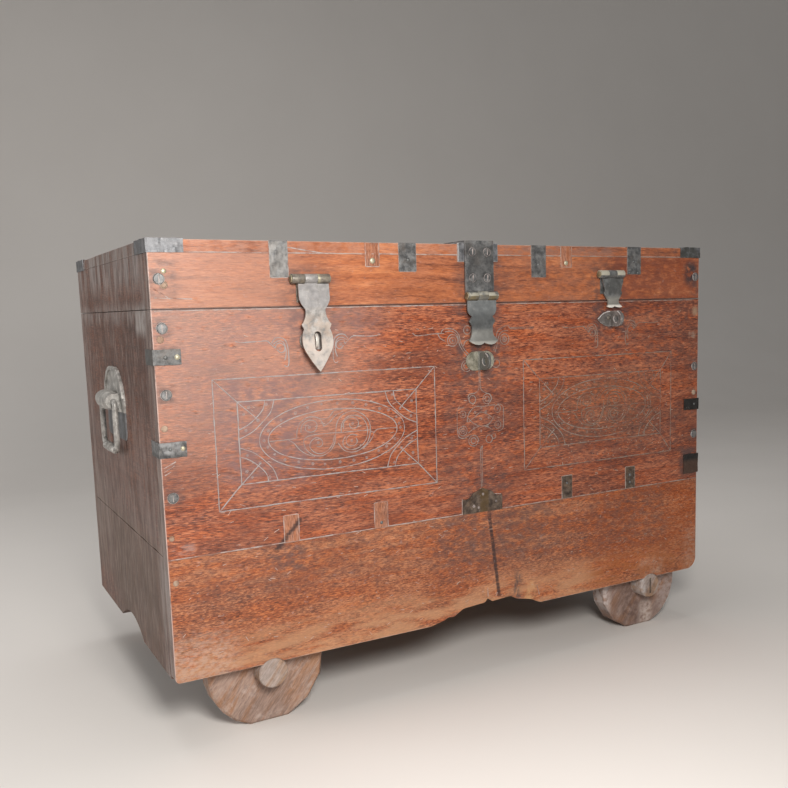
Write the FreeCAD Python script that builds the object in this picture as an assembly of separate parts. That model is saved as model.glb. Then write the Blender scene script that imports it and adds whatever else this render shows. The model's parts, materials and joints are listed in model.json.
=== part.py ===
import FreeCAD, Part
import math
import os

# Wheeled dowry chest. Millimetres; X runs along the chest, the front looks to -Y, Z is up from the ground.
# Values that end in share or shares are parts of the size named beside them.

# Case
chest_length = 1150.0
chest_depth = 643.0
body_height = 594.5            # lower edge of the boards up to the lid seam
lid_height = 106.0
board_thick = 26.0
lower_board_height = 203.0
seam_gap = 0.6
lid_plank_thick = 19.0
lid_plank_names = ("front", "middle", "back")
batten_width = 60.0
batten_thick = 22.0
batten_place_share = 0.24      # of the length, out from the middle
floor_thick = 20.0
floor_plank_names = ("front", "back")
cleat_width = 22.0
cleat_height = 25.0
cut_over = 12.0                # how far every cutting shape runs past the stock

# Broken lower edge of the front: shares of the length from the left, and of the lower board's height
broken_edge_shares = (
    (0.408, 0.0), (0.438, 0.057), (0.468, 0.113), (0.515, 0.140),
    (0.569, 0.123), (0.582, 0.074), (0.615, 0.0),
)
front_left_round = 8.0
front_right_round = 26.0
side_arch_span = 192.0
side_arch_rise = 28.0

# Running gear
wheel_radius = 103.0
wheel_thick = 42.0
wheel_chamfer = 4.0
wheel_side_gap = 8.0
wheel_headroom = 14.0
wheel_place_shares = (-0.358, 0.383)            # left and right, of the length, from the middle
axle_radius = 26.0
axle_drop = 19.0               # axle centre below the boards' lower edge
axle_chamfer = 2.0
axle_fit = 0.06
notch_gap = 0.4
bearer_thick = 40.0
bearer_width = 120.0

# Corners of a wheel's hewn rim, all at its radius, as shares of a turn from straight down
wheel_flat_share = 0.0545      # to either end of the worn flat that it stands on
wheel_corner_shares = (
    0.125, 0.197, 0.256, 0.300, 0.336, 0.386, 0.422, 0.472, 0.511,
    0.564, 0.603, 0.656, 0.700, 0.739, 0.778, 0.817, 0.856, 0.900,
)

# Iron let into the lid's front edge: places along the length, and drop as a share of the lid's height
strap_thick = 2.2
strap_proud = 0.5
strap_side_gap = 0.3
lid_strap_widths = (31.0, 34.0, 34.0, 36.0)
lid_strap_top_leg = 44.0
lid_strap_place_shares = (0.180, 0.385, 0.631, 0.840)
lid_strap_drop_shares = (0.55, 0.46, 0.56, 0.51)
patch_width = 26.0
patch_thick = 6.0
patch_proud = 0.3
lid_patch_place_shares = (0.326, 0.689)
lid_patch_drop_share = 0.38
corner_plate_thick = 1.6
corner_plate_front = 55.0
corner_plate_side = 78.0
corner_plate_drop = 20.0

# Iron and patches on the body's front
corner_strap_thick = 2.0
corner_strap_front = 41.0
corner_strap_side = 47.0
left_strap_height_shares = (0.878, 0.636)       # of the body's height, strap centre
left_strap_width = 24.0
right_strap_height_shares = (0.619, 0.399)
right_strap_widths = (24.0, 42.0)
joint_plate_rise = 46.0
joint_plate_place_shares = (0.687, 0.832)
body_patch_place_shares = (0.180, 0.326)
tongue_width = 88.0
tongue_rise = 46.0
tongue_shoulder_share = 0.62   # of the tongue's rise
tongue_neck_share = 0.50       # of its half width
tongue_thick = 2.2

# Hasp hinges on the lid's front
hasp_place_shares = (0.227, 0.5115, 0.785)      # left, centre, right along the length
hasp_height_shares = (0.427, 0.124, 0.487)      # barrel centre above the seam, of the lid's height
hasp_lengths = (153.0, 89.0, 66.0)
hasp_widths = (54.0, 62.0, 53.0)
hasp_thick = 3.0
hasp_knuckle_radius = 8.0
hasp_pin_radius = 3.2
hasp_barrel_lengths = (66.0, 64.0, 61.0)
hasp_barrel_shifts = (-4.5, 1.0, -4.0)           # barrel's middle from the hasp's
hasp_leaf_thick = 2.5
hasp_leaf_height = 38.0
hasp_curl_angle = 50.0
hasp_curl_share = 0.74         # of the hasp's length, where the end starts to curl
left_hasp_rest_angle = 6.0     # the left hasp hangs this far off its lug
slot_width = 12.5
slot_height = 33.0
slot_place_share = 0.673       # of the left hasp's length, slot centre below the pin
pin_fit = 0.06
knuckle_gap = 0.5
face_gap = 0.3
pin_head_length = 1.5
pin_head_share = 0.80          # of the knuckle's radius
bracket_width = 86.0
bracket_drop = 31.0
bracket_top_leg = 52.0
bracket_thick = 2.5
centre_strap_width = 61.0
centre_strap_thick = 4.0
centre_strap_top_leg = 70.0

# Half outlines of the hasps, from under the pin to the tip: shares of the half width and of the length.
# A single point ends a straight edge; a pair is the middle and the end of an arc.
left_hasp_shares = (
    ((1.0, 0.215),), ((0.86, 0.275), (0.65, 0.325)), ((0.70, 0.41), (0.97, 0.49)), ((0.84, 0.54),),
    ((1.0, 0.65), (0.83, 0.78)), ((0.46, 0.89), (0.0, 1.0)),
)
centre_hasp_shares = (
    ((1.0, 0.25),), ((0.94, 0.345), (0.71, 0.415)), ((0.92, 0.525),), ((0.76, 0.60), (0.72, 0.69)),
    ((0.79, 0.81), (1.0, 0.91)), ((0.52, 0.995), (0.0, 0.955)),
)
right_hasp_shares = (
    ((1.0, 0.20),), ((0.78, 0.47),), ((0.88, 0.58),), ((0.52, 0.78),),
    ((0.55, 0.89), (0.72, 0.97)), ((0.36, 0.998), (0.0, 0.95)),
)

# Padlock staples on the body's front, each below its hasp
staple_height_shares = (0.906, 0.822, 0.939)    # lug centre, of the body's height
staple_lengths = (50.0, 61.0, 69.0)
staple_plate_heights = (30.0, 35.0, 31.0)
staple_thick = 3.0
staple_point_shares = (0.0, 0.0, 0.42)          # of the length, taken by a pointed left end
staple_bow_share = 0.75        # of half the plate's height, halfway along that point
lug_lengths = (15.0, 33.0, 33.0)
lug_heights = (27.0, 31.0, 31.0)
lug_hole_radii = (3.6, 7.0, 7.0)
lug_hole_walls = (2.8, 8.0, 8.0)                # iron left outside the hole
lug_thick = 5.0

# Lid hinges on the back
hinge_place_shares = (0.22, 0.78)
hinge_width = 72.0
hinge_leaf_height = 74.0
hinge_leaf_thick = 3.0
hinge_knuckle_radius = 8.0
hinge_pin_radius = 4.0

# Carrying handles on the ends
handle_height_share = 0.734    # pivot above the boards' lower edge, of the body's height
handle_plate_width = 165.0
handle_plate_rise = 59.0
handle_plate_below = 20.0
handle_plate_side = 26.0       # straight part of the plate's ends
handle_plate_thick = 3.0
handle_rim_width = 7.0
handle_rim_height = 3.0
handle_foot_height = 50.0
handle_foot_thick = 1.5
handle_foot_corner = 16.0
handle_barrel_length = 104.0
handle_barrel_end_radius = 13.0
handle_barrel_mid_radius = 18.0
handle_pivot_out = 15.0
bail_bar_radius = 5.0
bail_pin_length = 20.0
bail_pivot_bend = 8.0
bail_end_gap = 1.5
bail_drop = 88.0
bail_corner_bend = 18.0
grip_bead_radius = 8.0
grip_bead_length = 9.0
grip_swell_radius = 8.5
grip_neck_radius = 5.6
grip_length = 84.0

# Slotted screw heads
edge_screw_radius = 8.4
strap_screw_radius = 7.2
screw_height = 2.6
screw_edge = 1.0
screw_slot_width = 2.2
screw_slot_depth = 1.4
edge_screw_insets = (15.0, 11.0)                # left and right
left_screw_height_shares = (0.952, 0.780, 0.508)
right_screw_height_shares = (0.757, 0.508)
lid_screw_height_share = 0.437 # above the seam, of the lid's height
strap_screw_spread_share = 0.52
strap_screw_height_shares = (0.867, 0.427)      # above the seam, of the lid's height

# Derived places
axle_z = wheel_radius * math.cos(2 * math.pi * wheel_flat_share)
board_z = axle_z + axle_drop
joint_z = board_z + lower_board_height
body_top = board_z + body_height
lid_z = body_top + seam_gap
lid_top = body_top + lid_height
rail_top = lid_top - lid_plank_thick
floor_z = axle_z + wheel_radius + wheel_headroom
front_reach = staple_thick + max(lug_lengths)
back_reach = 2 * hinge_knuckle_radius + face_gap
front_y = (front_reach - back_reach - chest_depth) / 2
back_y = front_y + chest_depth
inner_front_y = front_y + board_thick
inner_back_y = back_y - board_thick
left_x = -chest_length / 2
right_x = chest_length / 2
inner_left_x = left_x + board_thick
inner_right_x = right_x - board_thick
middle_y = (front_y + back_y) / 2
wheel_xs = [chest_length * share for share in wheel_place_shares]
handle_z = board_z + body_height * handle_height_share
axis_x = FreeCAD.Vector(1, 0, 0)
axis_y = FreeCAD.Vector(0, 1, 0)
axis_z = FreeCAD.Vector(0, 0, 1)
nodes = {}


def vec(x, y, z):
    return FreeCAD.Vector(x, y, z)


def block(x_a, x_b, y_a, y_b, z_a, z_b):
    low = vec(min(x_a, x_b), min(y_a, y_b), min(z_a, z_b))
    return Part.makeBox(abs(x_b - x_a), abs(y_b - y_a), abs(z_b - z_a), low)


def rod_x(radius, x_a, x_b, y, z):
    return Part.makeCylinder(radius, x_b - x_a, vec(x_a, y, z), axis_x)


def rod_y(radius, y_a, y_b, x, z):
    return Part.makeCylinder(radius, y_b - y_a, vec(x, y_a, z), axis_y)


def joined(shapes):
    whole = shapes[0].fuse(shapes[1:]) if len(shapes) > 1 else shapes[0]
    return whole.removeSplitter()


def along(share):
    return left_x + chest_length * share


def outline(start, steps, spot):
    # steps hold one point for a straight edge, or the middle and the end of an arc
    edges = []
    here = start
    for step in steps:
        if len(step) == 1:
            edges.append(Part.LineSegment(spot(here), spot(step[0])).toShape())
        else:
            edges.append(Part.Arc(spot(here), spot(step[0]), spot(step[1])).toShape())
        here = step[-1]
    return Part.Wire(edges)


# Case boards

def broken_edge():
    points = [vec(along(run), front_y - cut_over, board_z + lower_board_height * rise)
              for run, rise in broken_edge_shares]
    first = vec(points[0].x, points[0].y, board_z - cut_over)
    last = vec(points[-1].x, points[-1].y, board_z - cut_over)
    wire = Part.makePolygon([first] + points + [last, first])
    return Part.Face(wire).extrude(axis_y * (board_thick + 2 * cut_over))


def axle_notches(y_a, y_b):
    return [rod_y(axle_radius + notch_gap, y_a - cut_over, y_b + cut_over, x, axle_z) for x in wheel_xs]


def rounded_lower_corner(board, x, radius):
    # the one edge that runs through the board's thickness at its lower corner
    near = board_thick / 2
    edges = [edge for edge in board.Edges if edge.BoundBox.YLength > near
             and abs(edge.CenterOfMass.x - x) < near and abs(edge.CenterOfMass.z - board_z) < near]
    return board.makeFillet(radius, edges)


def make_long_boards():
    for name, y_a, y_b in (("front", front_y, inner_front_y), ("back", inner_back_y, back_y)):
        lower = block(left_x, right_x, y_a, y_b, board_z, joint_z)
        if name == "front":
            lower = rounded_lower_corner(lower, left_x, front_left_round)
            lower = rounded_lower_corner(lower, right_x, front_right_round)
            lower = lower.cut(broken_edge())
        nodes[name + "_lower_board"] = lower.cut(axle_notches(y_a, y_b))
        nodes[name + "_upper_board"] = block(left_x, right_x, y_a, y_b, joint_z, body_top)


def side_arch(x_a, x_b):
    half = side_arch_span / 2
    foot_z = board_z - cut_over
    start = (-half, foot_z)
    steps = (((-half, board_z),), ((0, board_z + side_arch_rise), (half, board_z)),
             ((half, foot_z),), (start,))
    wire = outline(start, steps, lambda p: vec(x_a - cut_over, middle_y + p[0], p[1]))
    return Part.Face(wire).extrude(axis_x * (x_b - x_a + 2 * cut_over))


def make_end_boards():
    for name, x_a, x_b in (("left", left_x, inner_left_x), ("right", inner_right_x, right_x)):
        lower = block(x_a, x_b, inner_front_y, inner_back_y, board_z, joint_z)
        nodes[name + "_lower_end"] = lower.cut(side_arch(x_a, x_b))
        nodes[name + "_upper_end"] = block(x_a, x_b, inner_front_y, inner_back_y, joint_z, body_top)


def make_floor():
    width = (inner_back_y - inner_front_y) / len(floor_plank_names)
    for index, name in enumerate(floor_plank_names):
        y_a = inner_front_y + index * width
        nodes["floor_plank_" + name] = block(inner_left_x, inner_right_x, y_a, y_a + width,
                                             floor_z, floor_z + floor_thick)
    cleats = []
    for x_a, x_b in ((inner_left_x, inner_left_x + cleat_width),
                     (inner_right_x - cleat_width, inner_right_x)):
        cleats.append(block(x_a, x_b, inner_front_y, inner_back_y, floor_z - cleat_height, floor_z))
    nodes["floor_cleats"] = Part.makeCompound(cleats)


# Running gear

def bearer(x, y_a, y_b):
    half = bearer_width / 2
    top = floor_z - axle_z
    start = (-half, top)
    steps = (((-half, 0),), ((0, -half), (half, 0)), ((half, top),), (start,))
    wire = outline(start, steps, lambda p: vec(x + p[0], y_a, axle_z + p[1]))
    plank = Part.Face(wire).extrude(axis_y * (y_b - y_a))
    return plank.cut(rod_y(axle_radius + axle_fit, y_a - cut_over, y_b + cut_over, x, axle_z))


def disc_wheel(x, y_a, turn):
    # turn is the way round in which the corners follow each other
    points = []
    for share in (-wheel_flat_share, wheel_flat_share) + wheel_corner_shares + (-wheel_flat_share,):
        angle = 2 * math.pi * share * turn
        points.append(vec(x + wheel_radius * math.sin(angle), y_a, axle_z - wheel_radius * math.cos(angle)))
    disc = Part.Face(Part.makePolygon(points)).extrude(axis_y * wheel_thick)
    rim_edges = [edge for edge in disc.Edges if edge.BoundBox.YLength < wheel_chamfer]
    disc = disc.makeChamfer(wheel_chamfer, rim_edges)
    return disc.cut(rod_y(axle_radius + axle_fit, y_a - cut_over, y_a + wheel_thick + cut_over, x, axle_z))


def axle(x):
    end = axle_radius - axle_chamfer
    points = [(0, front_y), (end, front_y), (axle_radius, front_y + axle_chamfer),
              (axle_radius, back_y - axle_chamfer), (end, back_y), (0, back_y), (0, front_y)]
    section = Part.Face(Part.makePolygon([vec(x + r, y, axle_z) for r, y in points]))
    return section.revolve(vec(x, front_y, axle_z), axis_y, 360)


def make_running_gear():
    front_wheel_y = inner_front_y + wheel_side_gap
    back_wheel_y = inner_back_y - wheel_side_gap - wheel_thick
    front_bearer_y = front_wheel_y + wheel_thick + wheel_side_gap
    back_bearer_y = back_wheel_y - wheel_side_gap - bearer_thick
    for side, turn, x in zip(("left", "right"), (1, -1), wheel_xs):
        nodes["axle_" + side] = axle(x)
        nodes["wheel_front_" + side] = disc_wheel(x, front_wheel_y, turn)
        nodes["wheel_back_" + side] = disc_wheel(x, back_wheel_y, turn)
        nodes["axle_bearer_front_" + side] = bearer(x, front_bearer_y, front_bearer_y + bearer_thick)
        nodes["axle_bearer_back_" + side] = bearer(x, back_bearer_y, back_bearer_y + bearer_thick)


# Lid

def make_lid_boards():
    nodes["lid_front_rail"] = block(left_x, right_x, front_y, inner_front_y, lid_z, rail_top)
    nodes["lid_back_rail"] = block(left_x, right_x, inner_back_y, back_y, lid_z, rail_top)
    nodes["lid_left_rail"] = block(left_x, inner_left_x, inner_front_y, inner_back_y, lid_z, rail_top)
    nodes["lid_right_rail"] = block(inner_right_x, right_x, inner_front_y, inner_back_y, lid_z, rail_top)
    width = chest_depth / len(lid_plank_names)
    for index, name in enumerate(lid_plank_names):
        y_a = front_y + index * width
        nodes["lid_plank_" + name] = block(left_x, right_x, y_a, y_a + width, rail_top, lid_top)
    battens = []
    for side in (-1, 1):
        x = side * chest_length * batten_place_share
        battens.append(block(x - batten_width / 2, x + batten_width / 2, inner_front_y, inner_back_y,
                             rail_top - batten_thick, rail_top))
    nodes["lid_battens"] = Part.makeCompound(battens)


def over_edge(x, width, drop, top_leg, thick, proud):
    # iron bent over the lid's front edge; proud is how far its faces stand off the wood
    x_a = x - width / 2
    x_b = x + width / 2
    face_y = front_y - proud
    face_z = lid_top + proud
    down = block(x_a, x_b, face_y, face_y + thick, lid_top - drop, face_z)
    back = block(x_a, x_b, face_y, front_y + top_leg, face_z - thick, face_z)
    return joined([down, back])


def over_edge_pocket(x, width, drop, top_leg, thick, proud):
    x_a = x - width / 2 - strap_side_gap
    x_b = x + width / 2 + strap_side_gap
    down = block(x_a, x_b, front_y - cut_over, front_y - proud + thick,
                 lid_top - drop - strap_side_gap, lid_top + cut_over)
    back = block(x_a, x_b, front_y - cut_over, front_y + top_leg + strap_side_gap,
                 lid_top + proud - thick, lid_top + cut_over)
    return joined([down, back])


def make_lid_ironwork():
    straps = []
    pockets = []
    for place, width, drop in zip(lid_strap_place_shares, lid_strap_widths, lid_strap_drop_shares):
        sizes = (along(place), width, lid_height * drop, lid_strap_top_leg, strap_thick, strap_proud)
        straps.append(over_edge(*sizes))
        pockets.append(over_edge_pocket(*sizes))
    patches = []
    for place in lid_patch_place_shares:
        x = along(place)
        low = lid_top - lid_height * lid_patch_drop_share
        patches.append(block(x - patch_width / 2, x + patch_width / 2, front_y - patch_proud,
                             front_y - patch_proud + patch_thick, low, lid_top))
        half = patch_width / 2 + strap_side_gap
        pockets.append(block(x - half, x + half, front_y - cut_over, front_y - patch_proud + patch_thick,
                             low - strap_side_gap, lid_top + cut_over))
    nodes["lid_straps"] = Part.makeCompound(straps)
    nodes["lid_patches"] = Part.makeCompound(patches)
    for name in ("lid_front_rail", "lid_plank_front"):
        nodes[name] = nodes[name].cut(pockets)


def corner_plate(side_x, side_y):
    # cap of sheet iron on one top corner of the lid; side_x and side_y point out of the corner
    x = side_x * chest_length / 2
    y = front_y if side_y < 0 else back_y
    out_x = x + side_x * corner_plate_thick
    out_y = y + side_y * corner_plate_thick
    in_x = x - side_x * corner_plate_front
    in_y = y - side_y * corner_plate_side
    top = lid_top + corner_plate_thick
    low = lid_top - corner_plate_drop
    top_leaf = block(in_x, out_x, in_y, out_y, lid_top, top)
    cut_corner = Part.Face(Part.makePolygon([vec(in_x, in_y, lid_top), vec(x, in_y, lid_top),
                                             vec(in_x, y, lid_top), vec(in_x, in_y, lid_top)]))
    top_leaf = top_leaf.cut(cut_corner.extrude(axis_z * corner_plate_thick))
    long_leaf = block(in_x, out_x, y, out_y, low, top)
    short_leaf = block(x, out_x, in_y, out_y, low, top)
    return joined([top_leaf, long_leaf, short_leaf])


def make_corner_plates():
    plates = [corner_plate(side_x, side_y) for side_x in (-1, 1) for side_y in (-1, 1)]
    nodes["lid_corner_plates"] = Part.makeCompound(plates)


# Ironwork on the body's front

def corner_strap(side, height_share, width):
    x = side * chest_length / 2
    z = board_z + body_height * height_share
    out_x = x + side * corner_strap_thick
    out_y = front_y - corner_strap_thick
    front_leg = block(x - side * corner_strap_front, out_x, out_y, front_y, z - width / 2, z + width / 2)
    side_leg = block(x, out_x, out_y, front_y + corner_strap_side, z - width / 2, z + width / 2)
    return joined([front_leg, side_leg])


def make_corner_straps():
    straps = [corner_strap(-1, share, left_strap_width) for share in left_strap_height_shares]
    straps += [corner_strap(1, share, width)
               for share, width in zip(right_strap_height_shares, right_strap_widths)]
    nodes["corner_straps"] = Part.makeCompound(straps)


def make_joint_plates():
    for name, places, thick, proud in (("joint_plates", joint_plate_place_shares, strap_thick, strap_proud),
                                       ("body_patches", body_patch_place_shares, patch_thick, patch_proud)):
        plates = []
        pockets = []
        for place in places:
            x = along(place)
            half = patch_width / 2
            floor_y = front_y - proud + thick
            plates.append(block(x - half, x + half, front_y - proud, floor_y,
                                joint_z, joint_z + joint_plate_rise))
            half += strap_side_gap
            pockets.append(block(x - half, x + half, front_y - cut_over, floor_y,
                                 joint_z - cut_over, joint_z + joint_plate_rise + strap_side_gap))
        nodes[name] = Part.makeCompound(plates)
        nodes["front_upper_board"] = nodes["front_upper_board"].cut(pockets)


def make_tongue_plate():
    half = tongue_width / 2
    shoulder = tongue_rise * tongue_shoulder_share
    neck = half * tongue_neck_share
    neck_z = (shoulder + tongue_rise) / 2
    bow = (half + neck) / 2
    start = (-half, 0)
    steps = (((half, 0),), ((half, shoulder),), ((bow, shoulder), (neck, neck_z)), ((0, tongue_rise),),
             ((-neck, neck_z),), ((-bow, shoulder), (-half, shoulder)), (start,))
    x = along(hasp_place_shares[1])
    wire = outline(start, steps, lambda p: vec(x + p[0], front_y, joint_z + p[1]))
    nodes["tongue_plate"] = Part.Face(wire).extrude(axis_y * -tongue_thick)


# Hinges, used for the lid and the hasps

def knuckle_spans(x, width):
    # three knuckles along the pin, with a running gap between neighbours
    low = x - width / 2
    high = x + width / 2
    first = low + width / 3
    second = high - width / 3
    half_gap = knuckle_gap / 2
    return [(low, first - half_gap), (first + half_gap, second - half_gap), (second + half_gap, high)]


def hinge_leaf(sizes, own, other, rise):
    # plate on a face, rising or dropping from the pin, with its own knuckles and room for the other leaf's
    spans = knuckle_spans(sizes["barrel_x"], sizes["barrel"])
    y = sizes["face"]
    pin_y = y + sizes["out"] * sizes["offset"]
    z = sizes["pin_z"]
    half = sizes["width"] / 2
    plate = block(sizes["x"] - half, sizes["x"] + half, y, y + sizes["out"] * sizes["thick"],
                  z, z + rise * sizes["height"])
    room = sizes["radius"] + knuckle_gap
    for index in other:
        x_a, x_b = spans[index]
        plate = plate.cut(block(x_a - knuckle_gap, x_b + knuckle_gap, y - cut_over, y + cut_over,
                                z - rise * cut_over, z + rise * room))
    rolls = [rod_x(sizes["radius"], spans[index][0], spans[index][1], pin_y, z) for index in own]
    leaf = plate.fuse(rolls)
    bore = rod_x(sizes["pin"] + pin_fit, spans[0][0] - cut_over, spans[2][1] + cut_over, pin_y, z)
    return leaf.cut(bore).removeSplitter()


def hinge_pin(sizes):
    spans = knuckle_spans(sizes["barrel_x"], sizes["barrel"])
    pin_y = sizes["face"] + sizes["out"] * sizes["offset"]
    x_a = spans[0][0]
    x_b = spans[2][1]
    head = sizes["radius"] * pin_head_share
    shank = rod_x(sizes["pin"], x_a, x_b, pin_y, sizes["pin_z"])
    left_head = rod_x(head, x_a - pin_head_length, x_a, pin_y, sizes["pin_z"])
    right_head = rod_x(head, x_b, x_b + pin_head_length, pin_y, sizes["pin_z"])
    return joined([shank, left_head, right_head])


def lid_hinge_sizes(place):
    return {"x": along(place), "width": hinge_width, "barrel_x": along(place), "barrel": hinge_width,
            "face": back_y, "out": 1, "offset": hinge_knuckle_radius + face_gap,
            "radius": hinge_knuckle_radius, "pin": hinge_pin_radius, "pin_z": body_top + seam_gap / 2,
            "thick": hinge_leaf_thick, "height": hinge_leaf_height}


def make_lid_hinges():
    pins = []
    for name, place in zip(("left", "right"), hinge_place_shares):
        sizes = lid_hinge_sizes(place)
        nodes["hinge_body_leaf_" + name] = hinge_leaf(sizes, (0, 2), (1,), -1)
        nodes["hinge_lid_leaf_" + name] = hinge_leaf(sizes, (1,), (0, 2), 1)
        pins.append(hinge_pin(sizes))
    nodes["hinge_pins"] = Part.makeCompound(pins)


# Hasps

def hasp_sizes(index):
    centre = index == 1
    x = along(hasp_place_shares[index])
    return {"x": x, "barrel_x": x + hasp_barrel_shifts[index], "barrel": hasp_barrel_lengths[index],
            "width": centre_strap_width if centre else hasp_widths[index],
            "face": front_y - (bracket_thick if centre else 0), "out": -1,
            "offset": hasp_knuckle_radius + face_gap, "radius": hasp_knuckle_radius, "pin": hasp_pin_radius,
            "pin_z": body_top + lid_height * hasp_height_shares[index],
            "thick": centre_strap_thick if centre else hasp_leaf_thick, "height": hasp_leaf_height}


def bent_sheet(x, half_width, pin_y, pin_z, length, curl_start):
    # strip hanging from the pin whose end curls away from the chest
    half = hasp_thick / 2
    angle = math.radians(hasp_curl_angle)
    radius = (length - curl_start + hasp_thick) / math.sin(angle)

    def on_curl(turn, offset):
        return (radius - (radius - offset) * math.cos(turn), curl_start + (radius - offset) * math.sin(turn))

    start = (half, 0)
    steps = (((half, curl_start),), (on_curl(angle / 2, half), on_curl(angle, half)),
             (on_curl(angle, -half),), (on_curl(angle / 2, -half), (-half, curl_start)),
             ((-half, 0),), (start,))
    wire = outline(start, steps, lambda p: vec(x - half_width - cut_over, pin_y - p[0], pin_z - p[1]))
    return Part.Face(wire).extrude(axis_x * 2 * (half_width + cut_over))


def hasp_blank(x, half_width, pin_y, pin_z, length, shares, top):
    # the front view of the hasp as a deep prism, mirrored from its right half
    start = (0, top)
    steps = [((half_width, top),)]
    for share_step in shares:
        steps.append(tuple((u * half_width, v * length) for u, v in share_step))
    steps.append((start,))
    depth = length
    wire = outline(start, steps, lambda p: vec(x + p[0], pin_y + depth / 2, pin_z - p[1]))
    right = Part.Face(wire).extrude(axis_y * -2 * depth)
    return joined([right, right.mirror(vec(x, pin_y, pin_z), axis_x)])


def make_hasp(name, index, shares, curled):
    sizes = hasp_sizes(index)
    x = sizes["x"]
    pin_y = sizes["face"] - sizes["offset"]
    pin_z = sizes["pin_z"]
    length = hasp_lengths[index]
    half_width = hasp_widths[index] / 2
    top = sizes["radius"] + knuckle_gap
    blank = hasp_blank(x, half_width, pin_y, pin_z, length, shares, top)
    if curled:
        sheet = bent_sheet(x, half_width, pin_y, pin_z, length, length * hasp_curl_share)
    else:
        sheet = block(x - half_width, x + half_width, pin_y - hasp_thick / 2, pin_y + hasp_thick / 2,
                      pin_z - length, pin_z)
    leaf = blank.common(sheet)
    x_a, x_b = knuckle_spans(sizes["barrel_x"], sizes["barrel"])[1]
    neck = block(x_a, x_b, pin_y - hasp_thick / 2, pin_y + hasp_thick / 2, pin_z - top, pin_z)
    hasp = leaf.fuse([neck, rod_x(sizes["radius"], x_a, x_b, pin_y, pin_z)])
    hasp = hasp.cut(rod_x(sizes["pin"] + pin_fit, x_a - cut_over, x_b + cut_over, pin_y, pin_z))
    if name == "left":
        hasp = hasp.cut(hasp_slot(x, pin_y, pin_z - length * slot_place_share))
        hasp.rotate(vec(x, pin_y, pin_z), axis_x, -left_hasp_rest_angle)
    nodes["hasp_" + name] = hasp.removeSplitter()


def hasp_slot(x, y, z):
    half = slot_width / 2
    straight = slot_height / 2 - half
    start = (-half, -straight)
    steps = (((-half, straight),), ((0, straight + half), (half, straight)),
             ((half, -straight),), ((0, -straight - half), start))
    wire = outline(start, steps, lambda p: vec(x + p[0], y - cut_over, z + p[1]))
    return Part.Face(wire).extrude(axis_y * 2 * cut_over)


def make_hasps():
    pins = []
    for index, name, shares, curled in ((0, "left", left_hasp_shares, False),
                                        (1, "centre", centre_hasp_shares, True),
                                        (2, "right", right_hasp_shares, True)):
        sizes = hasp_sizes(index)
        pins.append(hinge_pin(sizes))
        if name == "centre":
            nodes["hasp_strap_centre"] = centre_strap(sizes)
        else:
            nodes["hasp_leaf_" + name] = hinge_leaf(sizes, (0, 2), (1,), -1)
        make_hasp(name, index, shares, curled)
    nodes["hasp_pins"] = Part.makeCompound(pins)


def centre_strap(sizes):
    # the strap of the middle hasp lies on the older bracket and goes on over the lid's top
    top = lid_top + bracket_thick
    sizes["height"] = top + centre_strap_thick - sizes["pin_z"]
    leaf = hinge_leaf(sizes, (0, 2), (1,), 1)
    half = centre_strap_width / 2
    top_leg = block(sizes["x"] - half, sizes["x"] + half, sizes["face"] - centre_strap_thick,
                    front_y + centre_strap_top_leg, top, top + centre_strap_thick)
    return joined([leaf, top_leg])


def make_centre_bracket():
    nodes["centre_bracket"] = over_edge(along(hasp_place_shares[1]), bracket_width, bracket_drop,
                                        bracket_top_leg, bracket_thick, bracket_thick)


# Padlock staples

def staple_plate(index, x, z):
    half = staple_lengths[index] / 2
    rise = staple_plate_heights[index] / 2
    point = staple_lengths[index] * staple_point_shares[index]
    start = (half - rise, -rise)
    right_end = ((half, 0), (half - rise, rise))
    if point > 0:
        bow = (point / 2 - half, rise * staple_bow_share)
        left_end = (((point - half, rise),), (bow, (-half, 0)), ((bow[0], -bow[1]), (point - half, -rise)))
    else:
        left_end = (((rise - half, rise),), ((-half, 0), (rise - half, -rise)))
    steps = (right_end,) + left_end + ((start,),)
    wire = outline(start, steps, lambda p: vec(x + p[0], front_y, z + p[1]))
    return Part.Face(wire).extrude(axis_y * -staple_thick)


def staple_lug(index, x, z):
    rise = lug_heights[index] / 2
    reach = staple_thick + lug_lengths[index]
    nose = min(rise, lug_lengths[index])
    start = (0, -rise)
    steps = (((reach - nose, -rise),), ((reach, 0), (reach - nose, rise)), ((0, rise),), (start,))
    wire = outline(start, steps, lambda p: vec(x - lug_thick / 2, front_y - p[0], z + p[1]))
    lug = Part.Face(wire).extrude(axis_x * lug_thick)
    hole = lug_hole_radii[index]
    hole_y = front_y - reach + lug_hole_walls[index] + hole
    return lug, rod_x(hole, x - lug_thick / 2 - cut_over, x + lug_thick / 2 + cut_over, hole_y, z)


def make_staples():
    for index, name in enumerate(("left", "centre", "right")):
        x = along(hasp_place_shares[index])
        z = board_z + body_height * staple_height_shares[index]
        lug, hole = staple_lug(index, x, z)
        nodes["staple_" + name] = joined([staple_plate(index, x, z), lug]).cut(hole)


# Carrying handles: made for the right end, then mirrored to the left

def handle_plate_outline(inset):
    half = handle_plate_width / 2 - inset
    foot = inset - handle_plate_below
    side = handle_plate_side - handle_plate_below
    crown = handle_plate_rise - inset
    start = (-half, foot)
    shoulder = 1 / math.sqrt(2)
    bow_z = side + (crown - side) * shoulder
    steps = (((half, foot),), ((half, side),), ((half * shoulder, bow_z), (0, crown)),
             ((-half * shoulder, bow_z), (-half, side)), (start,))
    return outline(start, steps, lambda p: vec(right_x, middle_y + p[0], handle_z + p[1]))


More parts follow.
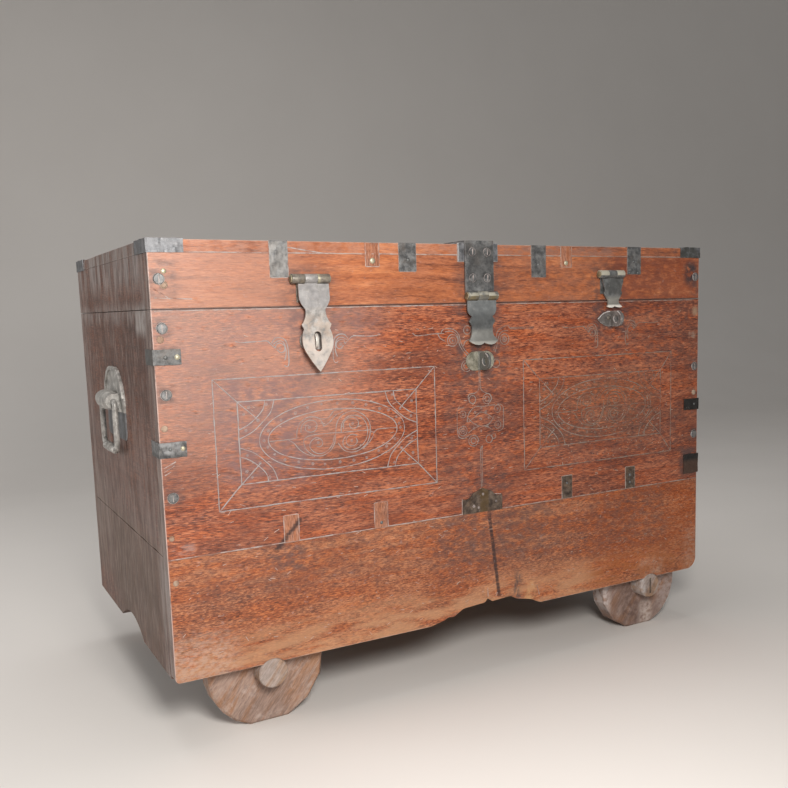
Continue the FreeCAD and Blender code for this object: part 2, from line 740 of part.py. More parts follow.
def handle_plate():
    plate = Part.Face(handle_plate_outline(0)).extrude(axis_x * handle_plate_thick)
    rim = Part.Face(handle_plate_outline(0)).extrude(axis_x * (handle_plate_thick + handle_rim_height))
    field = Part.Face(handle_plate_outline(handle_rim_width)).extrude(axis_x * (2 * cut_over))
    pivot_x = right_x + handle_pivot_out
    half = handle_barrel_length / 2
    end = handle_barrel_end_radius
    start = (0, -half)
    steps = (((end, -half),), ((handle_barrel_mid_radius, 0), (end, half)), ((0, half),), (start,))
    wire = outline(start, steps, lambda p: vec(pivot_x + p[0], middle_y + p[1], handle_z))
    barrel = Part.Face(wire).revolve(vec(pivot_x, middle_y, handle_z), axis_y, 360)
    web = block(right_x, pivot_x, middle_y - half, middle_y + half, handle_z - end, handle_z + end)
    bore = rod_y(bail_bar_radius + pin_fit, middle_y - half - cut_over, middle_y + half + cut_over,
                 pivot_x, handle_z)
    room_y = half + bail_end_gap / 2
    ends = [block(right_x + handle_plate_thick, right_x + cut_over, middle_y + side * room_y,
                  middle_y + side * handle_plate_width, handle_z - handle_plate_below - cut_over,
                  handle_z + bail_bar_radius + bail_end_gap) for side in (-1, 1)]
    shell = joined([plate, rim.cut(field).cut(ends), barrel, web])
    behind = block(right_x - 2 * cut_over, right_x,
                   middle_y - handle_plate_width, middle_y + handle_plate_width,
                   handle_z - handle_plate_width, handle_z + handle_plate_width)
    return shell.cut(bore).cut(behind)


def handle_foot():
    # lower half of the back plate, a thinner sheet behind the bail
    half = handle_plate_width / 2
    top = -handle_plate_below - face_gap
    low = top - handle_foot_height
    corner = handle_foot_corner
    corner_mid = corner * (1 - 1 / math.sqrt(2))
    start = (-half, top)
    steps = (((half, top),), ((half, low + corner),),
             ((half - corner_mid, low + corner_mid), (half - corner, low)), ((corner - half, low),),
             ((corner_mid - half, low + corner_mid), (-half, low + corner)), (start,))
    wire = outline(start, steps, lambda p: vec(right_x, middle_y + p[0], handle_z + p[1]))
    return Part.Face(wire).extrude(axis_x * handle_foot_thick)


def grip(x, z):
    # turned grip: bead, swelling, bead, on a thinner bar
    half = grip_length / 2
    bead_mid = half - grip_bead_length / 2
    bead_in = half - grip_bead_length
    neck = grip_neck_radius
    start = (0, -half)
    steps = (((neck, -half),), ((grip_bead_radius, -bead_mid), (neck, -bead_in)),
             ((grip_swell_radius, 0), (neck, bead_in)), ((grip_bead_radius, bead_mid), (neck, half)),
             ((0, half),), (start,))
    wire = outline(start, steps, lambda p: vec(x + p[0], middle_y + p[1], z))
    return Part.Face(wire).revolve(vec(x, middle_y, z), axis_y, 360)


def bail():
    x = right_x + handle_pivot_out
    inner = handle_barrel_length / 2 - bail_pin_length
    turn = handle_barrel_length / 2 + bail_end_gap
    limb = turn + bail_pivot_bend
    low = -bail_drop
    diagonal = 1 - 1 / math.sqrt(2)
    pivot_mid = bail_pivot_bend * diagonal
    corner_mid = bail_corner_bend * diagonal
    start = (-inner, 0)
    steps = (((-turn, 0),), ((pivot_mid - limb, -pivot_mid), (-limb, -bail_pivot_bend)),
             ((-limb, low + bail_corner_bend),),
             ((corner_mid - limb, low + corner_mid), (bail_corner_bend - limb, low)),
             ((limb - bail_corner_bend, low),),
             ((limb - corner_mid, low + corner_mid), (limb, low + bail_corner_bend)),
             ((limb, -bail_pivot_bend),), ((limb - pivot_mid, -pivot_mid), (turn, 0)), ((inner, 0),))
    path = outline(start, steps, lambda p: vec(x, middle_y + p[0], handle_z + p[1]))
    circle = Part.makeCircle(bail_bar_radius, vec(x, middle_y - inner, handle_z), axis_y)
    bar = path.makePipeShell([Part.Wire([circle])], True, False)
    return joined([bar, grip(x, handle_z - bail_drop)])


def make_handles():
    for name, shape in (("handle_plate", handle_plate()), ("handle_foot", handle_foot()), ("bail", bail())):
        nodes[name + "_right"] = shape
        nodes[name + "_left"] = shape.mirror(vec(0, 0, 0), axis_x)


# Slotted screws

def screw(x, y, z, radius):
    points = [(0, 0), (radius, 0), (radius, screw_edge), (radius - screw_edge, screw_height),
              (0, screw_height), (0, 0)]
    section = Part.Face(Part.makePolygon([vec(x + r, y - h, z) for r, h in points]))
    head = section.revolve(vec(x, y, z), axis_y, 360)
    half = screw_slot_width / 2
    slot = block(x - half, x + half, y - screw_height - cut_over, y - screw_height + screw_slot_depth,
                 z - radius - cut_over, z + radius + cut_over)
    return head.cut(slot)


def make_screws():
    left_inset, right_inset = edge_screw_insets
    heads = []
    for x, shares in ((left_x + left_inset, left_screw_height_shares),
                      (right_x - right_inset, right_screw_height_shares)):
        heads += [screw(x, front_y, board_z + body_height * share, edge_screw_radius) for share in shares]
    nodes["edge_screws"] = Part.makeCompound(heads)
    lid_screw_z = body_top + lid_height * lid_screw_height_share
    heads = [screw(x, front_y, lid_screw_z, edge_screw_radius)
             for x in (left_x + left_inset, right_x - right_inset)]
    strap_x = along(hasp_place_shares[1])
    strap_y = front_y - bracket_thick - centre_strap_thick
    spread = centre_strap_width * strap_screw_spread_share / 2
    for share in strap_screw_height_shares:
        for side in (-1, 1):
            heads.append(screw(strap_x + side * spread, strap_y, body_top + lid_height * share,
                               strap_screw_radius))
    nodes["lid_screws"] = Part.makeCompound(heads)


def main():
    make_long_boards()
    make_end_boards()
    make_floor()
    make_running_gear()
    make_lid_boards()
    make_lid_ironwork()
    make_corner_plates()
    make_corner_straps()
    make_joint_plates()
    make_tongue_plate()
    make_lid_hinges()
    make_hasps()
    make_centre_bracket()
    make_staples()
    make_handles()
    make_screws()
    os.makedirs("parts", exist_ok=True)
    for name, shape in nodes.items():
        if not shape.isValid():
            print("invalid", name)
        shape.exportStep("parts/" + name + ".step")
    print(len(nodes), "nodes written")


main()
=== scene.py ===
import bmesh
import bpy
import json
import math
import random
from mathutils import Matrix, Vector, noise

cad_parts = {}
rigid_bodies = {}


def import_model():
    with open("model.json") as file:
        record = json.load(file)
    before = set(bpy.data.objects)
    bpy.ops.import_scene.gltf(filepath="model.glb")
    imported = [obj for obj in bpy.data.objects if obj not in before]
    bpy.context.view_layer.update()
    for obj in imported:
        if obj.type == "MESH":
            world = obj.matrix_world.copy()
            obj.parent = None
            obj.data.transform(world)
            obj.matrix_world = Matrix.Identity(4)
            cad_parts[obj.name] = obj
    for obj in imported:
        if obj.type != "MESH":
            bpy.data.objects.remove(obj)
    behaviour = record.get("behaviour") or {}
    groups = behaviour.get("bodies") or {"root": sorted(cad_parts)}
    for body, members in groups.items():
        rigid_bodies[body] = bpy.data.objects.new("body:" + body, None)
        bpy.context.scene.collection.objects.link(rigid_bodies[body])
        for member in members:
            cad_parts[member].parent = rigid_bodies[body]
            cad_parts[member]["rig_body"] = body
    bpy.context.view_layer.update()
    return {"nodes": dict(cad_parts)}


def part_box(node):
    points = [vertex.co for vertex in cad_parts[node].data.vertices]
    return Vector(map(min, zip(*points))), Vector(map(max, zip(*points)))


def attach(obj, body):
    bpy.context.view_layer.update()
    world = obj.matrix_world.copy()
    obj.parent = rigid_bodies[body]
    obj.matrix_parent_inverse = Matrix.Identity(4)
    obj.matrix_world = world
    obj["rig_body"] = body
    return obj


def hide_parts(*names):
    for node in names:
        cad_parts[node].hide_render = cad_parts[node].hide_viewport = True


# Wheeled dowry chest: worn boards, ironwork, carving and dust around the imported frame. Metres, mm where named.
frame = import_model()
nodes = frame["nodes"]
mm = 0.001
print("frame loaded:", len(nodes), "nodes")

bodyOf = {name: nodes[name]["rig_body"] for name in nodes}


# Shader building blocks

def feed(tree, socket, value):
    if isinstance(value, bpy.types.NodeSocket):
        tree.links.new(value, socket)
    else:
        socket.default_value = value


def addNode(tree, kind, feeds=None, **settings):
    node = tree.nodes.new(kind)
    for key, value in settings.items():
        setattr(node, key, value)
    for key, value in (feeds or {}).items():
        feed(tree, node.inputs[key], value)
    return node


def calc(tree, operation, a, b=0.0):
    return addNode(tree, "ShaderNodeMath", {0: a, 1: b}, operation=operation).outputs[0]


def vecCalc(tree, operation, a, b=(0.0, 0.0, 0.0)):
    node = addNode(tree, "ShaderNodeVectorMath", {0: a, 1: b}, operation=operation)
    return node.outputs[1] if operation == "LENGTH" else node.outputs[0]


def tint(tree, factor, a, b, mode="MIX"):
    return addNode(tree, "ShaderNodeMix", {0: factor, 6: a, 7: b}, data_type="RGBA", blend_type=mode).outputs[2]


def ramp(tree, value, low, high, start=0.0, end=1.0):
    feeds = {0: value, 1: low, 2: high, 3: start, 4: end}
    return addNode(tree, "ShaderNodeMapRange", feeds, interpolation_type="SMOOTHSTEP").outputs[0]


def cloud(tree, vector, stretch, detail=4.0, roughness=0.55):
    spread = vecCalc(tree, "MULTIPLY", vector, stretch)
    feeds = {"Vector": spread, "Scale": 1.0, "Detail": detail, "Roughness": roughness}
    return addNode(tree, "ShaderNodeTexNoise", feeds).outputs[0]


def alike(size):
    return (size, size, size)


def times(tree, a, b):
    return calc(tree, "MULTIPLY", a, b)


def splitVector(tree, vector):
    return addNode(tree, "ShaderNodeSeparateXYZ", {0: vector}).outputs


def joinVector(tree, x=0.0, y=0.0, z=0.0):
    return addNode(tree, "ShaderNodeCombineXYZ", {0: x, 1: y, 2: z}).outputs[0]


def newTree(name, kind, inputs, outputs):
    tree = bpy.data.node_groups.new(name, kind)
    for side, sockets in (("INPUT", inputs), ("OUTPUT", outputs)):
        for label, socketKind in sockets.items():
            tree.interface.new_socket(label, in_out=side, socket_type="NodeSocket" + socketKind)
    return tree, tree.nodes.new("NodeGroupInput").outputs, tree.nodes.new("NodeGroupOutput").inputs


def newGroup(name, inputs, outputs):
    return newTree(name, "ShaderNodeTree", inputs, outputs)


def useGroup(tree, group, **feeds):
    node = tree.nodes.new("ShaderNodeGroup")
    node.node_tree = group
    for label, value in feeds.items():
        feed(tree, node.inputs[label], value)
    return node.outputs


def newMaterial(name):
    material = bpy.data.materials.new(name)
    material.use_nodes = True
    tree = material.node_tree
    where = addNode(tree, "ShaderNodeTexCoord").outputs["Object"]
    return material, tree, tree.nodes["Principled BSDF"].inputs, where


def addBump(tree, shader, height, strength, depth):
    bump = addNode(tree, "ShaderNodeBump", {"Strength": strength, "Distance": depth, "Height": height})
    tree.links.new(bump.outputs[0], shader["Normal"])


woodGrain = {"bend": (1.6, 5.0, 5.0), "bendBy": 0.05, "streak": (5.0, 95.0, 95.0), "pore": (60.0, 800.0, 800.0),
             "speck": (1.5, 1.15, 1.15), "broad": (4.0, 9.0, 9.0), "warm": (9.0, 55.0, 55.0),
             "smoke": (7.0, 15.0, 15.0), "fineShare": 0.7, "broadShare": 0.3, "poreShare": 0.4, "poreDepth": 0.6,
             "smokeShare": 0.75}
# noise levels between which one colour passes into the next
woodLevels = {"mid": (0.35, 0.50), "light": (0.49, 0.66), "pore": (0.55, 0.68), "paleSpeck": (0.52, 0.64),
              "darkSpeck": (0.48, 0.36), "warm": (0.42, 0.60), "smoke": (0.42, 0.66)}


def makeAgedWood():
    # the grain runs along X; Fleck stretches the small marks, Streak is the share of long ones, Speck how strong
    # the finest are, Smoke how much has darkened
    sizes = {"Vector": "Vector", "Dark": "Color", "Mid": "Color", "Light": "Color", "Warm": "Color", "Fleck": "Vector",
             "Streak": "Float", "Speck": "Float", "Smoke": "Float"}
    tree, ins, outs = newGroup("agedWood", sizes, {"Color": "Color", "Height": "Float"})
    where = ins["Vector"]
    drift = times(tree, cloud(tree, where, woodGrain["bend"], 2.0), woodGrain["bendBy"])
    bent = vecCalc(tree, "ADD", where, joinVector(tree, 0.0, drift, drift))
    streak = cloud(tree, bent, woodGrain["streak"], 5.0, 0.62)
    fleck = cloud(tree, bent, ins["Fleck"], 3.0, 0.6)
    pore = cloud(tree, bent, woodGrain["pore"], 2.0)
    speck = cloud(tree, bent, vecCalc(tree, "MULTIPLY", ins["Fleck"], woodGrain["speck"]), 3.0, 0.65)
    broad = cloud(tree, where, woodGrain["broad"], 4.0)
    grain = times(tree, calc(tree, "SUBTRACT", streak, fleck), ins["Streak"])
    tone = times(tree, calc(tree, "ADD", fleck, grain), woodGrain["fineShare"])
    tone = calc(tree, "ADD", tone, times(tree, broad, woodGrain["broadShare"]))
    colour = tint(tree, ramp(tree, tone, *woodLevels["mid"]), ins["Dark"], ins["Mid"])
    colour = tint(tree, ramp(tree, tone, *woodLevels["light"]), colour, ins["Light"])
    hole = ramp(tree, pore, *woodLevels["pore"])
    colour = tint(tree, times(tree, hole, woodGrain["poreShare"]), colour, ins["Dark"])
    colour = tint(tree, ramp(tree, speck, *woodLevels["paleSpeck"], 0.0, ins["Speck"]), colour, ins["Light"])
    colour = tint(tree, ramp(tree, speck, *woodLevels["darkSpeck"], 0.0, ins["Speck"]), colour, ins["Dark"])
    warm = ramp(tree, cloud(tree, bent, woodGrain["warm"], 4.0, 0.65), *woodLevels["warm"])
    colour = tint(tree, warm, colour, tint(tree, 1.0, colour, ins["Warm"], "MULTIPLY"))
    smoke = ramp(tree, cloud(tree, where, woodGrain["smoke"], 6.0, 0.62), *woodLevels["smoke"])
    darker = tint(tree, woodGrain["smokeShare"], colour, ins["Dark"])
    feed(tree, outs["Color"], tint(tree, times(tree, smoke, ins["Smoke"]), colour, darker))
    feed(tree, outs["Height"], calc(tree, "SUBTRACT", fleck, times(tree, hole, woodGrain["poreDepth"])))
    return tree


boxSockets = {"Vector": "Vector", "Centre": "Vector", "Half": "Vector"}


def awayFrom(tree, ins):
    return vecCalc(tree, "ABSOLUTE", vecCalc(tree, "SUBTRACT", ins["Vector"], ins["Centre"]))


def makeEdgeReach():
    # distance from the nearest edge of a box
    tree, ins, outs = newGroup("edgeReach", boxSockets, {"Distance": "Float"})
    left = splitVector(tree, vecCalc(tree, "SUBTRACT", ins["Half"], awayFrom(tree, ins)))
    low = calc(tree, "MINIMUM", left[0], left[1])
    high = calc(tree, "MAXIMUM", left[0], left[1])
    feed(tree, outs["Distance"], calc(tree, "MAXIMUM", low, calc(tree, "MINIMUM", high, left[2])))
    return tree


def makeSoftSpot():
    # 1 inside a box, fading out over the soft width
    tree, ins, outs = newGroup("softSpot", dict(boxSockets, Soft="Float"), {"Mask": "Float"})
    past = vecCalc(tree, "MAXIMUM", vecCalc(tree, "SUBTRACT", awayFrom(tree, ins), ins["Half"]), alike(0.0))
    feed(tree, outs["Mask"], ramp(tree, vecCalc(tree, "LENGTH", past), ins["Soft"], 0.0))
    return tree


dustDrift = {"start": 0.72, "reach": 0.5, "fade": 0.22}


def makeDriftDust():
    sizes = {"Vector": "Vector", "Stretch": "Vector", "Amount": "Float"}
    tree, ins, outs = newGroup("driftDust", sizes, {"Mask": "Float"})
    fine = cloud(tree, ins["Vector"], ins["Stretch"], 6.0, 0.65)
    low = calc(tree, "SUBTRACT", dustDrift["start"], times(tree, ins["Amount"], dustDrift["reach"]))
    feed(tree, outs["Mask"], ramp(tree, fine, low, calc(tree, "ADD", low, dustDrift["fade"])))
    return tree


ironGrain = {"blotch": alike(80.0), "pit": alike(520.0), "patch": alike(38.0), "rustShare": 0.6, "pitShare": 0.22,
             "pitDepth": 0.3, "rough": (0.36, 0.58)}
ironLevels = {"pale": (0.34, 0.70), "rust": (0.48, 0.74), "pit": (0.62, 0.42), "rough": (0.3, 0.7)}


def makeAgedIron():
    colours = {"Vector": "Vector", "Dark": "Color", "Pale": "Color", "Rust": "Color"}
    tree, ins, outs = newGroup("agedIron", colours, {"Color": "Color", "Roughness": "Float", "Height": "Float"})
    blotch = cloud(tree, ins["Vector"], ironGrain["blotch"], 6.0, 0.68)
    pit = cloud(tree, ins["Vector"], ironGrain["pit"], 3.0)
    patch = cloud(tree, ins["Vector"], ironGrain["patch"], 5.0, 0.65)
    colour = tint(tree, ramp(tree, blotch, *ironLevels["pale"]), ins["Dark"], ins["Pale"])
    rust = times(tree, ramp(tree, patch, *ironLevels["rust"]), ironGrain["rustShare"])
    colour = tint(tree, rust, colour, ins["Rust"])
    colour = tint(tree, ramp(tree, pit, *ironLevels["pit"], 0.0, ironGrain["pitShare"]), colour, ins["Dark"])
    feed(tree, outs["Color"], colour)
    feed(tree, outs["Roughness"], ramp(tree, blotch, *ironLevels["rough"], *ironGrain["rough"]))
    feed(tree, outs["Height"], calc(tree, "ADD", blotch, times(tree, pit, ironGrain["pitDepth"])))
    return tree


agedWood = makeAgedWood()
edgeReach = makeEdgeReach()
softSpot = makeSoftSpot()
driftDust = makeDriftDust()
agedIron = makeAgedIron()
print("shader groups ready")


# Woods

def rgb(r, g, b):
    return (r, g, b, 1.0)


quarter = math.pi / 2
redWood = {"dark": rgb(0.060, 0.017, 0.013), "mid": rgb(0.275, 0.082, 0.041), "light": rgb(0.49, 0.180, 0.086),
           "warm": rgb(0.94, 0.72, 0.52), "fleck": (60.0, 520.0, 520.0), "streak": 0.6, "speck": 0.9, "smoke": 0.55,
           "worn": rgb(0.46, 0.35, 0.29), "wear": 1.2 * mm, "wearShare": 0.55, "turn": (0.0, 0.0, 0.0),
           "dust": rgb(0.42, 0.31, 0.29), "dustAmount": 0.26, "dustStretch": (90.0, 160.0, 160.0), "dustShare": 0.5,
           "rough": (0.40, 0.56), "bump": 0.35}
lidWood = dict(redWood, dark=rgb(0.11, 0.032, 0.018), mid=rgb(0.37, 0.125, 0.056), light=rgb(0.56, 0.23, 0.108),
               warm=rgb(1.0, 0.90, 0.74), speck=0.35, smoke=0.35)
lowWood = dict(redWood, dark=rgb(0.085, 0.026, 0.015), mid=rgb(0.31, 0.103, 0.046), light=rgb(0.545, 0.23, 0.105),
               fleck=(95.0, 520.0, 520.0), streak=0.25, speck=0.8, dustAmount=0.30, smoke=0.3)
endWood = dict(redWood, dark=rgb(0.050, 0.020, 0.014), mid=rgb(0.150, 0.062, 0.040), light=rgb(0.26, 0.130, 0.092),
               turn=(0.0, 0.0, quarter), dust=rgb(0.30, 0.24, 0.212), dustAmount=0.30,
               dustStretch=(70.0, 40.0, 9.0), dustShare=0.45, rough=(0.55, 0.8), wearShare=0.5, smoke=0.4)
greyWood = dict(redWood, dark=rgb(0.19, 0.125, 0.10), mid=rgb(0.335, 0.228, 0.18), light=rgb(0.46, 0.335, 0.275),
                turn=(0.0, 0.9, 0.0), dust=rgb(0.50, 0.41, 0.37), dustAmount=0.40, dustStretch=(40.0, 40.0, 40.0),
                fleck=(60.0, 300.0, 300.0), streak=0.4, speck=0.3, rough=(0.62, 0.8), smoke=0.4)
duskWood = dict(greyWood, dark=rgb(0.14, 0.092, 0.077), mid=rgb(0.262, 0.176, 0.145), light=rgb(0.38, 0.275, 0.235))
axleWood = dict(greyWood, dark=rgb(0.19, 0.145, 0.125), mid=rgb(0.30, 0.24, 0.21), light=rgb(0.42, 0.355, 0.325))
innerWood = dict(redWood, dark=rgb(0.09, 0.05, 0.032), mid=rgb(0.24, 0.14, 0.085), light=rgb(0.34, 0.215, 0.135),
                 dustAmount=0.3, rough=(0.65, 0.8), smoke=0.3)
patchWood = dict(redWood, dark=rgb(0.15, 0.065, 0.042), mid=rgb(0.31, 0.14, 0.088), light=rgb(0.42, 0.22, 0.15),
                 turn=(0.0, quarter, 0.0), wear=0.7 * mm, smoke=0.3)


markLevels = (0.36, 0.62)
grainShift = 3.0
# wear, and the look of a sawn end, start at from and are complete at full
wornEdge = {"grit": alike(70.0), "ragged": 4.0, "from": 3.4, "full": 1.7}
sawnEnd = {"from": 1.6 * mm, "full": 0.6 * mm}
grainDepth = 0.6 * mm


def lookFeeds(look, *labels):
    return {label: look[label.lower()] for label in labels}


def addMarks(tree, where, colour, marks):
    for mark in marks:
        spot = useGroup(tree, softSpot, Vector=where, **lookFeeds(mark, "Centre", "Half", "Soft"))
        levels = [level - mark["even"] for level in markLevels]
        grit = ramp(tree, cloud(tree, where, mark["grit"], 5.0, 0.6), *levels)
        share = times(tree, spot["Mask"], times(tree, grit, mark["share"]))
        colour = tint(tree, share, colour, mark["colour"])
    return colour


def woodColour(tree, where, name, nodeName, look, marks):
    chance = random.Random(name)
    shift = [chance.uniform(-grainShift, grainShift) for axis in range(3)]
    turned = addNode(tree, "ShaderNodeMapping", {0: where, 1: shift, 2: look["turn"]}).outputs[0]
    wood = useGroup(tree, agedWood, Vector=turned,
                    **lookFeeds(look, "Dark", "Mid", "Light", "Warm", "Fleck", "Streak", "Speck", "Smoke"))
    colour = addMarks(tree, where, wood["Color"], [mark for mark in marks if not mark["late"]])
    low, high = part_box(nodeName)
    reach = useGroup(tree, edgeReach, Vector=where, Centre=(low + high) / 2, Half=(high - low) / 2)["Distance"]
    wear = look["wear"]
    ragged = times(tree, cloud(tree, where, wornEdge["grit"], 5.0, 0.65), wornEdge["ragged"] * wear)
    edge = ramp(tree, calc(tree, "ADD", reach, ragged), wornEdge["from"] * wear, wornEdge["full"] * wear)
    colour = tint(tree, times(tree, edge, look["wearShare"]), colour, look["worn"])
    veil = useGroup(tree, driftDust, Vector=where, Stretch=look["dustStretch"], Amount=look["dustAmount"])["Mask"]
    colour = tint(tree, times(tree, veil, look["dustShare"]), colour, look["dust"])
    colour = addMarks(tree, where, colour, [mark for mark in marks if mark["late"]])
    return colour, wood["Height"], veil


def woodMaterial(name, nodeName, look, marks, ends):
    # ends is the look of the sawn ends of long boards, or None
    material, tree, shader, where = newMaterial(name)
    colour, height, veil = woodColour(tree, where, name, nodeName, look, marks)
    if ends:
        endColour = woodColour(tree, where, "ends", nodeName, ends, sideMarks)[0]
        along = calc(tree, "ABSOLUTE", splitVector(tree, where)[0])
        isEnd = ramp(tree, along, endX - sawnEnd["from"], endX - sawnEnd["full"])
        colour = addMarks(tree, where, tint(tree, isEnd, colour, endColour), arrisMarks)
    feed(tree, shader["Base Color"], colour)
    feed(tree, shader["Roughness"], ramp(tree, veil, 0.0, 1.0, *look["rough"]))
    addBump(tree, shader, height, look["bump"], grainDepth)
    return material


# Worn copies of CAD boards and irons: merged, their long edges split, then rounded by an uneven bevel

mergeReach = 0.01 * mm
flatAngle = math.radians(0.5)
sharpAngle = math.radians(30)
bluntReach = 2.0 * mm
bevelSegments = 2
edgeNoise = {"wide": 38.0, "wideShare": 0.5, "fine": 130.0, "fineShare": 0.35, "swing": 2.4, "least": 0.36, "most": 2.4}


def link(name, data):
    obj = bpy.data.objects.new(name, data)
    bpy.context.scene.collection.objects.link(obj)
    return obj


def linkShape(name, shape, materials):
    mesh = bpy.data.meshes.new(name)
    shape.to_mesh(mesh)
    shape.free()
    for material in materials:
        mesh.materials.append(material)
    return link(name, mesh)


def settled(obj):
    graph = bpy.context.evaluated_depsgraph_get()
    mesh = bpy.data.meshes.new_from_object(obj.evaluated_get(graph), depsgraph=graph)
    obj.modifiers.clear()
    obj.data = mesh
    return obj


def mergedShape(nodeName):
    shape = bmesh.new()
    shape.from_mesh(nodes[nodeName].data)
    bmesh.ops.remove_doubles(shape, verts=shape.verts, dist=mergeReach)
    return shape


def isSharp(edge):
    return edge.is_manifold and edge.calc_face_angle() > sharpAngle


def splitEdges(shape, edges, step):
    byCuts = {}
    for edge in edges:
        byCuts.setdefault(int(edge.calc_length() / step), []).append(edge)
    for cuts, group in byCuts.items():
        if cuts > 0:
            bmesh.ops.bisect_edges(shape, edges=group, cuts=cuts)


def sliceShape(shape, step, spans):
    # a span is an axis and the two ends, in millimetres, between which the shape is cut across
    for axis, start, end in spans:
        low, high = start * mm, end * mm
        normal = Vector([1.0 if axis == k else 0.0 for k in range(3)])
        for cut in range(1, int((high - low) / step)):
            whole = shape.verts[:] + shape.edges[:] + shape.faces[:]
            bmesh.ops.bisect_plane(shape, geom=whole, plane_co=normal * (low + cut * step), plane_no=normal)


def edgeWeight(edge, look):
    # blunt corners get the full bevel, other edges an uneven share of it
    middle = (edge.verts[0].co + edge.verts[1].co) / 2
    for corner in look["blunt"]:
        if Vector((middle.x - corner.x, middle.z - corner.z)).length < bluntReach:
            return 1.0
    rough = (noise.noise(middle * edgeNoise["wide"]) * edgeNoise["wideShare"]
             + noise.noise(middle * edgeNoise["fine"]) * edgeNoise["fineShare"])
    uneven = 1.0 + edgeNoise["swing"] * rough * look["uneven"]
    return look["usual"] * min(edgeNoise["most"], max(edgeNoise["least"], uneven))


def wornCopy(nodeName, look, shift=None, spans=()):
    # shift moves every point of a copy that was sliced along the spans
    shape = mergedShape(nodeName)
    bmesh.ops.dissolve_limit(shape, angle_limit=flatAngle, verts=shape.verts, edges=shape.edges)
    splitEdges(shape, [edge for edge in shape.edges if isSharp(edge)], look["step"])
    sliceShape(shape, look["slice"], spans)
    weight = shape.edges.layers.float.new("bevel_weight_edge")
    for edge in shape.edges:
        if isSharp(edge):
            edge[weight] = edgeWeight(edge, look)
    if shift:
        for vert in shape.verts:
            vert.co += shift(vert.co)
    obj = linkShape(nodeName + "Worn", shape, [None] * (look["edgeSlot"] + 1))
    bevel = obj.modifiers.new("round", "BEVEL")
    bevel.limit_method = "WEIGHT"
    bevel.width = look["round"]
    bevel.segments = bevelSegments
    bevel.use_clamp_overlap = True
    bevel.material = look["edgeSlot"]
    return settled(obj)


def place(obj, materials, nodeName):
    for index, material in enumerate(materials):
        obj.data.materials[index] = material
    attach(obj, bodyOf[nodeName])
    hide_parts(nodeName)


# Stains, dust and rubbed places, painted shade along the seams and a painted sheen on the upper left; heights on the
# front are measured with the joint of the boards at 327

boardEdge = {"round": 5.0 * mm, "step": 16.0 * mm, "slice": 16.0 * mm, "usual": 0.42, "uneven": 0.8, "edgeSlot": 0,
             "blunt": ()}
plankEdge = dict(boardEdge, round=3.0 * mm)
frontLow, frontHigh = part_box("front_upper_board")
railLow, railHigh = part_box("lid_front_rail")
frontY, endX = frontLow.y, frontHigh.x
jointZ = 327
drop = frontLow.z / mm - jointZ
seamZ = frontHigh.z / mm - drop + 0.3
plankZ = railHigh.z / mm - drop
usualGrit = (45.0, 90.0)
speckGrit = (60.0, 60.0)
sootGrit = (70.0, 70.0)
dustGrit = (90.0, 140.0)
markDepth = 4.0 * mm
sideReach = 0.7
arris = {"middle": 0.4, "halfHeight": 0.5, "half": 0.5 * mm, "soft": 1.6, "grit": alike(40.0), "even": 0.08}
nodeGrit = alike(90.0)
seam = {"half": 600, "soft": 2.5, "even": 0.3}


def newMark(centre, half, soft, colour, share, grit, even, late=True):
    # even lets less of the ground show through; a late mark lies over worn edges and dust
    return {"centre": centre, "half": half, "soft": soft * mm, "colour": colour, "share": share, "grit": grit,
            "even": even, "late": late}


def frontMark(x, z, halfX, halfZ, soft, colour, share, grit=usualGrit, even=0.0, late=False):
    # a mark on the front, in millimetres; grit is how fine its grain is across and upright
    across, upright = grit
    return newMark((x * mm, frontY, (z + drop) * mm), (halfX * mm, markDepth, halfZ * mm), soft, colour, share,
                   (across, across, upright), even, late)


def ironGrime(nodeName, soft, share):
    low, high = [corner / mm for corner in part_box(nodeName)]
    return frontMark((low.x + high.x) / 2, (low.z + high.z) / 2 - drop, (high.x - low.x) / 2, (high.z - low.z) / 2,
                     soft, grimeColour, share)


# painted shade: a dark line along a seam, where the gap between parts lies in shade
def seamShade(z, halfZ, share):
    return frontMark(0, z, seam["half"], halfZ, seam["soft"], stainAndSeamShadeColour, share, usualGrit, seam["even"], True)


def trail(start, step, count, *look):
    return [frontMark(start[0] + step[0] * k, start[1] + step[1] * k, *look) for k in range(count)]


def sideMark(y, z, halfY, halfZ, soft, colour, share, grit=(42.0, 6.0), even=0.0):
    # a mark on both ends, in millimetres from the ground
    return newMark((0.0, y * mm, z * mm), (sideReach, halfY * mm, halfZ * mm), soft, colour, share, (1.0, *grit), even)


def arrisMark(side, colour, share):
    # wood rubbed bare along an upright front edge
    return newMark((side * endX, frontY, arris["middle"]), (arris["half"], arris["half"], arris["halfHeight"]),
                   arris["soft"], colour, share, arris["grit"], arris["even"])


def nodeMark(nodeName, lowShares, highShares, soft, colour, share, even=0.3):
    # a mark on a part of a node's box, between two corners given as shares of the box
    low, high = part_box(nodeName)
    start, end = [Vector([low[k] + (high[k] - low[k]) * shares[k] for k in range(3)])
                  for shares in (lowShares, highShares)]
    return newMark((start + end) / 2, (end - start) / 2, soft, colour, share, nodeGrit, even)


grimeColour = rgb(0.075, 0.045, 0.042)
# pale haze on the left of the front and lid: partly dust, partly painted sheen
hazeAndSheenColour = rgb(0.43, 0.258, 0.198)
lilacColour = rgb(0.16, 0.095, 0.097)
tanColour = rgb(0.44, 0.235, 0.125)
paleColour = rgb(0.48, 0.37, 0.31)
# dark stains; the same colour is the painted shade along the seams
stainAndSeamShadeColour = rgb(0.028, 0.014, 0.014)
sideDust = rgb(0.30, 0.262, 0.248)
lilacDust = rgb(0.25, 0.185, 0.166)
